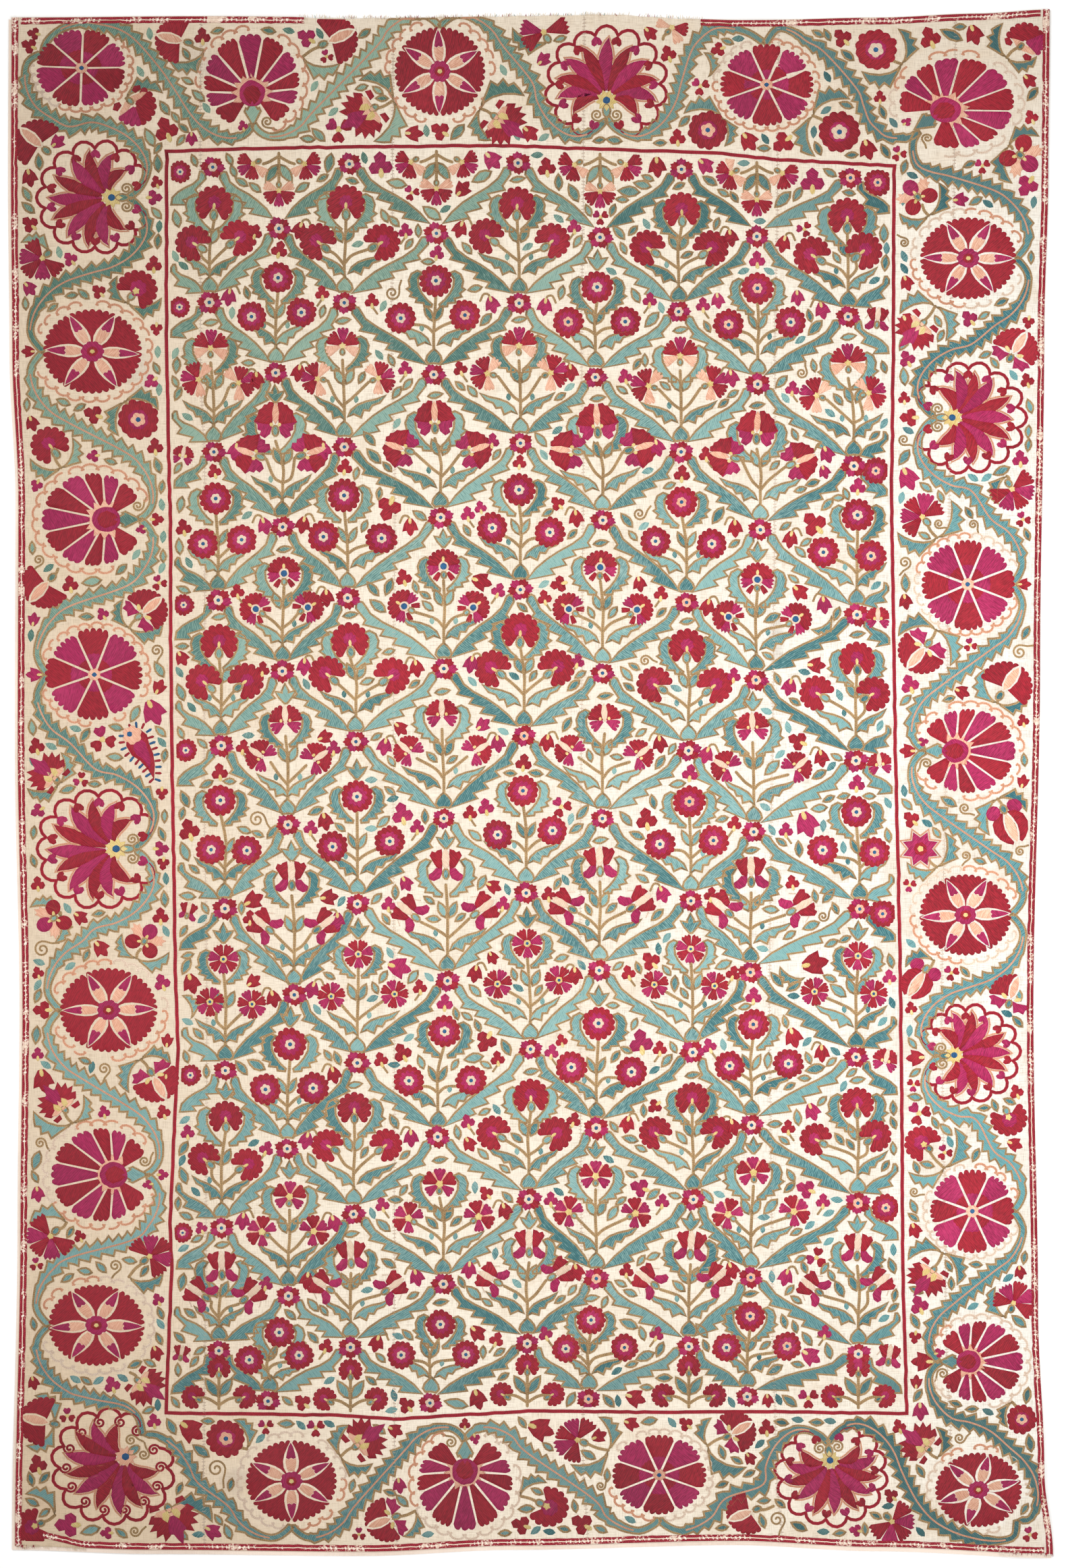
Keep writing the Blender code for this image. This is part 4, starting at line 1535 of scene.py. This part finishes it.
def border_free(across, down):
    uprights = smooth_line(LEFT_EDGE, down), smooth_line(RIGHT_EDGE, down)
    levels = smooth_line(TOP_EDGE, across), smooth_line(BOTTOM_EDGE, across)
    return within(across, down, *uprights, *levels, 15) & ~in_frame(across, down, -7)


def field_free(across, down):
    return in_frame(across, down, 6)


def bare_rings():
    """The rounds inside the great flowers' rings, which stay free of small work."""
    for kind, centre, radius, turn, tall in great:
        size, share = (radius, 1) if kind == "burst" else (radius * 1.16, 0.94)
        yield centre + size * np.exp(1j * np.arange(24) * math.tau / 24) * share


taken = Gaps(border_free)
for ring in bare_rings():
    taken.mark(ring, 0)
for outline, half, closed in everything:
    if not field_free(outline.real.mean(), -outline.imag.mean()):
        taken.mark(outline, half + 1.0, closed, filled=not half)
COMMA_LEAF = (
    (0, 0), (0.1, 0.12), (0.15, 0.32), (0.14, 0.58), (0.06, 0.82), (-0.04, 1), (0.14, 0.95), (0.3, 0.88),
    (0.28, 0.74), (0.46, 0.68), (0.36, 0.52), (0.5, 0.4), (0.3, 0.24), (0.1, 0.06),
)


def comma_leaf(foot, tip, side):
    """A leaf that bows to one side, with two teeth on its outer edge."""
    outlined_leaf(at(foot, bearing(tip - foot) - 90, abs(tip - foot), COMMA_LEAF, side))


def is_free(outline):
    return not taken.busy[taken.cells(np.append(outline, (outline + np.roll(outline, -1)) / 2))].any()


# The outlines of the smaller flowers' petals, in hundredths of the radius.
LENS_PETAL = (
    (10, -24), (40, -30), (84, -24), (102, -36), (84, -48), (82, -70), (56, -64), (36, -78), (24, -46),
)
SPLIT_PETAL = (
    (10, -35), (42, -30), (66, -2), (72, 34), (60, 68), (40, 92), (20, 106), (14, 98), (26, 66), (30, 34),
    (24, 0),
)
PEONY_OUTER = (
    (15, -30), (75, -35), (95, -10), (75, -2), (102, 20), (74, 24), (86, 52), (56, 46), (60, 78), (34, 62),
    (22, 50), (0, 30),
)
PEONY_INNER = (
    (10, -10), (28, 30), (34, 56), (18, 62), (10, 88), (0, 112), (-12, 86), (-20, 62), (-36, 58), (-28, 30),
    (-10, -10),
)
PEONY_HEART = (
    (0, -42), (50, -42), (66, -30), (40, -20), (30, -2), (12, -16), (0, 10), (-12, -16), (-30, -2),
    (-40, -20), (-66, -30), (-50, -42),
)
PEONY_GLOW = ((6, -35), (30, -32), (36, -10), (24, 8), (10, -10))
PEONY_LOWER = ((35, -50), (75, -52), (68, -72), (40, -70))
RAGGED_PETAL = (
    (0, 10), (10, 40), (26, 60), (20, 72), (24, 90), (10, 86), (0, 108), (-10, 86), (-24, 92), (-20, 72),
    (-26, 60), (-10, 40),
)
WIDE_PETAL = ((10, -18), (50, -8), (94, -10), (80, -28), (50, -36), (20, -50))
LOOSE_PETAL = ((50, -50), (84, -42), (96, -62), (70, -80), (46, -70))


def peach_lens(centre, turn, radius):
    """Two crimson petals round a peach lens in a cream edge, often over two pointed magenta ones."""
    for start in (-12, 91):
        wedge("crimson", centre, turn, start, start + 101, radius * 0.1, radius * 1.1, 7, 0.08)
    couch("cloth", lens(at(centre, turn, radius, (0, -0.22)), turn, radius * 0.52, radius * 1.36), level=1)
    couch("peach", lens(at(centre, turn, radius, (0, -0.14)), turn, radius * 0.36, radius * 1.14), level=2)
    bare = draw.random() < 0.25
    for side in () if bare else (1, -1):
        couch("magenta", at(centre, turn, radius / 100, LENS_PETAL, side))
        spot = at(centre, turn, radius, (side * 0.34, -0.1))
        couch("yellow", oval(spot, turn - side * 60, 0.15 * radius, 0.32 * radius, 7), level=3)
    calyx(centre, turn, radius, -0.42, 0.28, 0.42)


def split_lens(centre, turn, radius):
    """Two smooth crimson petals round a long peach lens, with two round magenta ones by the stem."""
    couch("peach", lens(at(centre, turn, radius, (0, -0.3)), turn, radius * 0.36, radius * 1.36), level=1)
    for side in (1, -1):
        couch("crimson", at(centre, turn, radius * 0.0106, SPLIT_PETAL, side))
        spot = at(centre, turn, radius, (side * 0.5, -0.5))
        couch("magenta", oval(spot, turn + side * 40, 0.66 * radius, 0.6 * radius, 12))
    calyx(centre, turn, radius, -0.52, 0.28, 0.42)


def peony(centre, turn, radius):
    """A ragged flower: long magenta petals between toothed crimson ones, on a yellow and peach heart."""
    size = radius / 100
    for side in (1, -1):
        couch("crimson", at(centre, turn, size, PEONY_OUTER, side))
    couch("magenta", at(centre, turn, size, PEONY_INNER), level=1)
    couch("peach", at(centre, turn, size, PEONY_HEART), level=1)
    for side in (1, -1):
        couch("yellow", at(centre, turn, size, PEONY_GLOW, side), level=2)
        couch("crimson", at(centre, turn, size, PEONY_LOWER, side))
    calyx(centre, turn, radius, -0.44, 0.26, 0.38)


def spoked(centre, turn, radius):
    """Five wide petals in two reds, parted by cream."""
    for k, (start, end) in enumerate(((-32, 14), (20, 64), (70, 110), (116, 160), (166, 212))):
        outer = radius * draw.uniform(1.06, 1.18)
        thread = REDS[k % 2]
        wedge(thread, centre, turn, start, end, 3, outer, 4, 0.12, point=k % 3 == 0)
    bead("yellow", centre, radius * 0.15, 5, 0.3, 0, 2, 1)
    calyx(centre, turn, radius, -0.34, 0.3, 0.42)


def big_rosette(centre, turn, radius):
    bead("crimson", centre, radius, 13, 0.12, 0.2, 4, 0)
    bead("magenta", centre, radius * 0.5, 8, 0.1, 0, 3, 1)
    bead(draw.choice(("peach", "cream")), centre, radius * 0.37, 5, 0.22, turn, 4, 2)
    bead("blue", centre, radius * 0.12, 5, 0.05, 0, 2, 3)


def three_round(centre, turn, radius):
    """Three round petals with ragged peach ones between."""
    for angle in (0, 120, 240):
        middle = at(centre, turn + angle, radius, (0, 0.56))
        thread = "magenta" if angle == 0 and draw.random() < 0.6 else "crimson"
        couch(thread, oval(middle, turn + angle, radius * 0.72, radius * 0.8, 14))
        seed(centre, turn + angle, radius, (0, 0.24), 0.14 * radius, 0.26 * radius)
    for angle in (60, -60):
        couch("peach", at(centre, turn + angle, radius / 100, RAGGED_PETAL))
    calyx(centre, turn, radius, 0, 0.28, 0.36)


def deep_carnation(centre, turn, radius):
    """A round crimson flower, magenta and yellow at its heart, open to its stem."""
    wedge("crimson", centre, turn, -40, 220, radius * 0.14, radius, 11, 0.13)
    bead("magenta", at(centre, turn, radius, (0, 0.1)), radius * 0.42, 7, 0.16, turn, 3, 1)
    bead("yellow", at(centre, turn, radius, (0, -0.06)), radius * 0.19, 5, 0.35, turn, 2, 2)
    calyx(centre, turn, radius, -0.42, 0.32, 0.42)


def star(centre, turn, radius):
    """An eight-pointed magenta star with a peach edge."""
    k = np.arange(16)
    ring = radius * np.where(k % 2, 1, 0.62) * ray(22.5 * k)
    couch("magenta", centre + ring * 0.85)
    lay("peach_row", centre + ring * 1.02, 2.6, closed=True)
    bead("crimson", centre, radius * 0.32, 7, 0.15, 0, 3, 1)
    bead("yellow", centre, radius * 0.15, 5, 0.2, 0, 2, 2)


def mixed_peony(centre, turn, radius):
    """A round flower of crimson and magenta, peach by its stem, with two loose petals."""
    for thread, start, end, outer, lobes in (("crimson", 62, 206, 1.12, 7), ("magenta", -8, 66, 1.1, 4)):
        wedge(thread, centre, turn, start, end, radius * 0.1, radius * outer, lobes, 0.12)
    for side in (1, -1):
        couch("peach", at(centre, turn, radius / 100, WIDE_PETAL, side))
        couch("crimson", at(centre, turn, radius / 100, LOOSE_PETAL, side))
    calyx(centre, turn, radius, -0.36, 0.28, 0.42)


SMALL_FLOWERS = (
    (mixed_peony, 200, 157, 27), (peach_lens, 266, 60, 31), (peach_lens, 58, 214, 33),
    (spoked, 63, 383, 29), (deep_carnation, 203, 430, 29), (peach_lens, 492, 60, 33), (peony, 540, 169, 34),
    (spoked, 806, 48, 31), (peony, 746, 182, 34), (big_rosette, 1049, 193, 28), (fan, 996, 41, 24),
    (big_rosette, 1298, 74, 30), (big_rosette, 1244, 196, 30), (mixed_peony, 1519, 62, 25),
    (three_round, 1512, 230, 32), (three_round, 1360, 292, 29), (peony, 1358, 489, 31),
    (peach_lens, 1504, 520, 30), (spoked, 1367, 766, 25), (spoked, 1500, 725, 29),
    (peach_lens, 1367, 964, 28), (peach_lens, 1490, 1019, 31), (split_lens, 1494, 1215, 32),
    (star, 1364, 1258, 30), (split_lens, 1364, 1449, 29), (peach_lens, 1499, 1476, 29),
    (deep_carnation, 1495, 1657, 26), (deep_carnation, 1368, 1695, 26), (peony, 1375, 1893, 30),
    (spoked, 1502, 1931, 27), (big_rosette, 1514, 2103, 21), (peony, 1364, 2139, 31),
    (peach_lens, 1088, 2123, 28), (peach_lens, 1110, 2241, 29), (spoked, 1322, 2255, 29),
    (peony, 540, 2134, 33), (peach_lens, 575, 2252, 28), (spoked, 856, 2134, 25),
    (deep_carnation, 812, 2233, 25), (peach_lens, 67, 2107, 33), (big_rosette, 335, 2132, 27),
    (peony, 216, 2054, 30), (spoked, 222, 1862, 29), (peony, 256, 2250, 36), (deep_carnation, 50, 2262, 26),
    (peony, 87, 1634, 30), (peach_lens, 230, 1600, 30), (spoked, 75, 1832, 31), (peony, 72, 1146, 31),
    (three_round, 80, 1361, 28), (three_round, 214, 1395, 28), (big_rosette, 205, 622, 25),
    (carnation, 74, 660, 27), (peach_lens, 68, 866, 32), (peach_lens, 215, 906, 29),
)


def great_near(place):
    """The great flower whose ring a small one stands on: its centre, the way to the place, its radius."""
    near = []
    for kind, centre, radius, turn, tall in great:
        way = place - centre
        behind = (way / ray(turn)).real > 0.25 * abs(way)
        near.append((abs(way) - radius + 60 * behind, centre, way / abs(way), radius))
    return min(near, key=lambda item: item[0])[1:]


def take(first, margin):
    """Takes the places of what has been drawn since a count."""
    for outline, half, closed in everything[first:]:
        taken.mark(outline, half + margin, closed, filled=not half)


def nosegay(flower, centre, radius):
    """A smaller flower, a little wider than tall, with its stem and the two leaves beside it."""
    hub, way, reach = great_near(centre)
    foot = hub + way * reach * 1.26
    gap = abs(centre - foot)
    lean = draw.uniform(8, 22) * draw.choice((1, -1))
    foot = foot + 1j * way * astray(6)
    aim = (centre - foot) / gap
    joint = centre - aim * radius * 0.45
    stem(foot, foot + (joint - foot) * 0.5 + 1j * aim * 2, joint)
    first, first_fill, first_line = len(everything), len(fills), len(lines)
    for size in (1.24, 1.18, 1.12, 1.06):
        if is_free(centre + radius * size * aim * ray(7.5 * np.arange(4, 44) - 180)):
            break
    flower(centre, bearing(aim) - 90 + lean * 0.4, radius * size)
    squash(centre, 0.96, first_fill, first_line)
    for side in (1, -1):
        for share, aside in ((a, b) for a in (1.1, 0.95, 0.82, 0.7) for b in (58, 50, 66, 42, 76)):
            long = (radius * 1.9 + 6) * share
            way = aim * ray(-side * aside)
            if is_free(at(foot, bearing(way) - 90, long, COMMA_LEAF, side)[3:12]):
                comma_leaf(foot + 1.5 * way, foot + way * long, side)
                break
    take(first, 1.0)


PAISLEY = (
    (0, 95), (30, 90), (42, 62), (34, 30), (30, -10), (16, -50), (-10, -95), (-12, -50), (-22, -10),
    (-40, 20), (-42, 60), (-28, 86),
)


def paisley(centre, turn, size):
    """A curved drop with a peach head, fringed with short stitches."""
    couch("crimson", at(centre, turn, size / 100, PAISLEY))
    couch("magenta", at(centre, turn, size * 0.006, PAISLEY), level=1)
    bead("peach", at(centre, turn, size, (-0.05, 0.86)), size * 0.36, 6, 0.2, 0, 3, 2)
    bead("blue", at(centre, turn, size, (-0.12, 0.94)), size * 0.1, 4, 0.1, 0, 2, 3)
    rim, way, run = resample(at(centre, turn, size * 0.0112, PAISLEY), 8.6)
    for k, (spot, ahead) in enumerate(zip(rim, way)):
        couch("blue" if k % 2 else "crimson", spot + ahead * np.array([-1, 7j - 1.3, 9j, 7j + 1.3, 1]))


paisley(214 - 1119j, 28, 40)
for flower, across, down, radius in SMALL_FLOWERS:
    nosegay(flower, complex(across, -down), radius)
for kind, centre, radius, turn, tall in great:
    away = ray(turn)
    cusp = centre + away * radius * ARM[kind][0][1]
    reach = radius * CUSP_BUD[kind]
    for size in (1.3, 1.1, 0.95, 0.8):
        if is_free(cusp + away * (reach + 11 * size) + size * np.exp(1j * np.arange(8)) * 9):
            if draw.random() < 0.5:
                bell(cusp + away * reach, turn + 90, size, draw.choice(("crimson", "magenta", "crimson")))
            else:
                trefoil(cusp + away * (reach + 2), turn - 90, size, draw.choice(REDS))
            break
sew("posies")

# The small work that fills the gaps: leaves, buds, sprigs and scrolls, set wherever there is room, so
# that no bare place is left wider than a few rows of stitches.
def footprint(wide, long):
    """Points round a place and in it, in shares, about its middle."""
    ring = ray(30 * np.arange(12))
    ring = np.append(ring, ring[::2] * 0.5)
    return wide / 2 * ring.real + 1j * long / 2 * ring.imag


BUD_ROOM, LEAF_ROOM = footprint(27, 31), footprint(0.54, 1.08)
LEAF_LENGTHS = (50, 44, 39, 35, 31.5, 28.5, 25.5, 23, 20.5, 18)


def fill_gaps(gaps, bud_space, buds, scrolls, least):
    """Buds and scrolls some way apart in the widest gaps, then leaves in what is left."""
    taken = []
    for middle in gaps.ridges(least):
        if len(taken) >= buds + scrolls or any(abs(middle - other) < bud_space for other in taken):
            continue
        found = gaps.fit(middle, BUD_ROOM, (1.3, 1.15, 1.0, 0.88, 0.76, 0.66))
        if found is None:
            continue
        size, turn = found
        way = ray(turn)
        taken.append(middle)
        if len(taken) % (buds // max(1, scrolls) + 1) == 0:
            scroll(middle - 8j * way * size, turn, 10.5 * size, draw.choice((1, -1)))
        elif draw.random() < 0.15:
            three_petals(middle, turn, size)
        elif draw.random() < 0.5:
            thread = draw.choice(("crimson", "crimson", "magenta"))
            trefoil(middle - 11j * way * size, turn, size * 1.35, thread)
        else:
            thread = draw.choice(("crimson", "magenta", "crimson"))
            bell(middle + 13j * way * size, turn, size * 1.25, thread)
        gaps.mark(middle + way * size * BUD_ROOM[:12], 1.0)
    for least in (3, 2, 2):
        for middle in gaps.ridges(least):
            busy = gaps.busy[gaps.cells(middle + np.zeros(1))][0]
            found = None if busy else gaps.fit(middle, LEAF_ROOM, LEAF_LENGTHS)
            if found is None:
                continue
            long, turn = found
            way = ray(turn)
            foot = middle - 0.5j * way * long
            if long > 33 and draw.random() < 0.8:
                comma_leaf(foot, foot + 1j * way * long, draw.choice((1, -1)))
            else:
                wide = long * (0.48 if long < 34 else 0.4)
                leaflet(foot, turn, long, wide, outlined=long > 19 or draw.random() < 0.6)
            gaps.mark(middle + way * long * LEAF_ROOM[:12] * 0.9, 1.8)


field_gaps, border_gaps = Gaps(field_free), Gaps(border_free)
for outline, half, closed in everything:
    in_field = 250 < outline.real.mean() < 1340 and -2100 < outline.imag.mean() < -225
    gaps = field_gaps if in_field else border_gaps
    gaps.mark(outline, half + (2.8 if gaps is field_gaps else 2.2), closed, filled=not half)
for ring in bare_rings():
    border_gaps.mark(ring, 0)
fill_gaps(field_gaps, 60, 70, 6, 5)
fill_gaps(border_gaps, 38, 270, 44, 4)
sew("small")

# The edge braid. Two crimson silk cords lie side by side on a narrow cream tape, caught down with cream
# stitches and worn through in places. It is gone from the middle of the top edge, and its first stretch
# along the bottom has come unsewn and lies turned in.
BRAID_WIDE = 9.6
BRAID_INSET = 0.6
BRAID_UNDER = 0.15
BRAID_CORNER = 11.8
TOP_BRAID_ENDS = 452
TOP_BRAID_RESUMES = 1036
BOTTOM_BRAID_STARTS = 57
LOOSE_LONG, LOOSE_IN = 60, 12
BRAID_PROFILE = (
    # share of the width, and how thick it is there in mm
    (0.0, 0.35), (0.04, 0.85), (0.15, 1.35), (0.29, 1.3), (0.39, 0.85), (0.43, 0.4),
    (0.57, 0.4), (0.61, 0.85), (0.71, 1.3), (0.85, 1.35), (0.96, 0.85), (1.0, 0.35),
)


def crimson_cords():
    """UV is along in chart steps and across as a share of the braid's width."""
    f = Finish("crimson_cords")
    place = f.place()
    along, share = f.parts(f.place("UV"))
    middle = (share - 0.5).size()
    cord = middle.between(0.055, 0.085)
    ply = ((along + share * 7.0) * (math.tau / 3.1)).sin() * 0.5 + 0.5
    patchy = f.noise(place, 34.0, 3.0)
    fine = f.noise(place, 300.0, 2.0)
    tone = (fine * 0.8 + ply * 0.4 - 0.25).between(0.0, 1.0)
    silk_red = f.mix(tone, (0.16, 0.006, 0.014), (0.44, 0.022, 0.042))
    stitch = ((along + patchy * 26.0 + share * 3.0) * (math.tau / 6.8)).sin().between(0.42, 0.75)
    inner = 1.0 - middle.between(0.17, 0.24)
    worn = (patchy * 0.75 + fine * 0.5).between(0.66, 0.78)
    tape = f.mix(fine, (0.62, 0.45, 0.34), (0.86, 0.74, 0.60))
    base = f.mix(cord, tape, silk_red)
    base = f.mix((stitch * inner * patchy.between(0.42, 0.55)), base, (0.86, 0.76, 0.66))
    base = f.mix(worn * 0.8, base, tape)
    return f.done(base, 0.75, ply * 0.5 + fine * 0.5 + stitch * inner * 0.5, 0.0006, Specular_IOR_Level=0.25)


cords = crimson_cords()


def edge_braid(node, edge, inward, loose=0):
    """The braid on the inward side of a run of chart places."""
    shares_across, thick = np.array(BRAID_PROFILE).T
    along = run_along(edge)[:, None]
    sway = np.array([[draw.gauss(0, 0.3)] for _ in edge])
    off = BRAID_INSET + sway * (shares_across > 0.1) + shares_across * BRAID_WIDE
    off += loose * LOOSE_IN * np.clip(1 - along / LOOSE_LONG, 0, 1)
    place = edge[:, None] + inward * off
    lift = SILK_RISE * loose * np.clip(1.4 - along / LOOSE_LONG, 0, 1)
    under = FACE + BRAID_UNDER + lift + cloth_rise(place)
    piece = closed_sheet(f"cords_{node}", place, under, thick + 0 * under, cords, along + 1j * shares_across)
    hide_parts(f"braid_{node}")


braid_rows = np.linspace(0, 1, round(LENGTH / 7) + 1)
edge_braid("left", on_cloth(0.0, braid_rows), 1)
edge_braid("right", on_cloth(1.0, braid_rows), -1)


def between_places(start, end, v):
    """Chart places along the top or the bottom edge between two places across."""
    run = on_cloth(np.linspace(0, 1, round(WIDTH / 7) + 1), v)
    return run[(run.real >= start) & (run.real <= end)]


edge_braid("top_left", between_places(TOP_EDGE[0][0] + BRAID_CORNER, TOP_BRAID_ENDS, 0.0), -1j)
edge_braid("top_right", between_places(TOP_BRAID_RESUMES, TOP_EDGE[-1][0] - BRAID_CORNER, 0.0), -1j)
edge_braid("bottom", between_places(BOTTOM_BRAID_STARTS, BOTTOM_EDGE[-1][0] - BRAID_CORNER, 1.0), 1j, loose=1)

# Loose threads. Short ends of cotton and silk stand out of the raw top edge and the corners, and small
# cream stitches join the strips along their seams.
FRAYS = (
    # thread, where it starts and ends along the edge, 0 at the top and 1 at the bottom, how many, longest
    ("cloth", 444, 1046, 0.0, 190, 6.5),
    ("crimson", 500, 1000, 0.0, 46, 5.0),
    ("teal", 446, 1040, 0.0, 26, 4.5),
    ("crimson", 22, 60, 1.0, 16, 6.0),
    ("cloth", 22, 130, 1.0, 50, 7.0),
    ("crimson", 1500, 1561, 1.0, 26, 6.0),
    ("cloth", 1480, 1561, 1.0, 40, 7.0),
)
SEAM_PITCH = 5.2
for thread, start, end, v, ends, longest in FRAYS:
    run = on_cloth(np.linspace(0, 1, 900), v)
    run = run[(run.real > start) & (run.real < end)]
    for _ in range(ends):
        foot = draw.choice(run.tolist())
        out = 1j if v == 0 else -1j
        way = out * np.exp(1j * astray(0.8))
        tip = foot + way * draw.uniform(0.35, 1) * longest
        foot -= out * 2.0
        half = 1j * way * draw.uniform(0.25, 0.5)
        middle = (foot + tip) / 2 + 1j * way * astray(1)
        fray = np.array([foot + half, middle + half, tip, middle - half, foot - half])
        fills.append((thread, fray, 0, False, 0.0, 0.5))
for seam in SEAMS:
    run = on_cloth((seam - TOP_EDGE[0][0]) / WIDTH, np.arange(8, LENGTH - 8, SEAM_PITCH) / LENGTH)
    for spot in run.tolist():
        way = np.exp(1j * astray(0.35))
        spot += complex(astray(0.3), astray(0.5))
        lines.append(("pale_row", np.array([spot - way * 2.2, spot, spot + way * 2.2]), 1.5, False, 0))
sew("threads")

# The surface it lies on, the light and the camera. The photograph is taken from straight above, in an
# even, soft light that comes a little more from the top left, on a white ground.
FLOOR_SIZE = 14.0
CAMERA_HIGH = 14.0
VIEW_TALL = 2.5564
VIEW_CENTRE = (0.00385, -0.00055)

bpy.ops.mesh.primitive_plane_add(size=FLOOR_SIZE, location=(0, 0, -0.0005))
floor = bpy.context.object
floor.name = "floor"
floor_finish = Finish("pale_floor")
grain = floor_finish.noise(floor_finish.place(), 3.0, 3.0)
floor_colour = floor_finish.mix(grain, (0.90, 0.90, 0.90), (0.93, 0.93, 0.925))
floor.data.materials.append(floor_finish.done(floor_colour, 0.9))

bpy.context.scene.view_settings.view_transform = "Standard"
world = bpy.data.worlds.new("studio")
bpy.context.scene.world = world
world.use_nodes = True
world.node_tree.nodes["Background"].inputs["Color"].default_value = (1.0, 0.99, 0.975, 1.0)
world.node_tree.nodes["Background"].inputs["Strength"].default_value = 0.62
LIGHTS = (
    # name, kind, place, aimed at, size, watts
    ("soft_key", "AREA", (-7.0, 6.0, 9.0), (0, 0, 0), 3.0, 700),
    ("soft_fill", "AREA", (5.0, -3.0, 7.0), (0, 0, 0), 4.0, 180),
    ("pool", "SPOT", (1.5, -0.5, 15.5), (0.3, -0.1, 0), 0.3, 5200),
)
POOL_CONE = 13.5
for name, kind, place, aim, size, watts in LIGHTS:
    light = bpy.data.lights.new(name, kind)
    light.energy = watts
    if kind == "AREA":
        light.size = size
    else:
        light.shadow_soft_size, light.spot_size, light.spot_blend = size, math.radians(POOL_CONE), 1.0
    lamp = bpy.data.objects.new(name, light)
    lamp.location = place
    lamp.rotation_euler = (Vector(aim) - Vector(place)).to_track_quat("-Z", "Y").to_euler()
    bpy.context.scene.collection.objects.link(lamp)

camera_lens = bpy.data.cameras.new("camera")
camera_lens.sensor_width = 36.0
camera_lens.lens = camera_lens.sensor_width * CAMERA_HIGH / VIEW_TALL
camera_lens.clip_end = 100.0
camera = bpy.data.objects.new("camera", camera_lens)
camera.location = (*VIEW_CENTRE, CAMERA_HIGH)
bpy.context.scene.collection.objects.link(camera)
bpy.context.scene.camera = camera
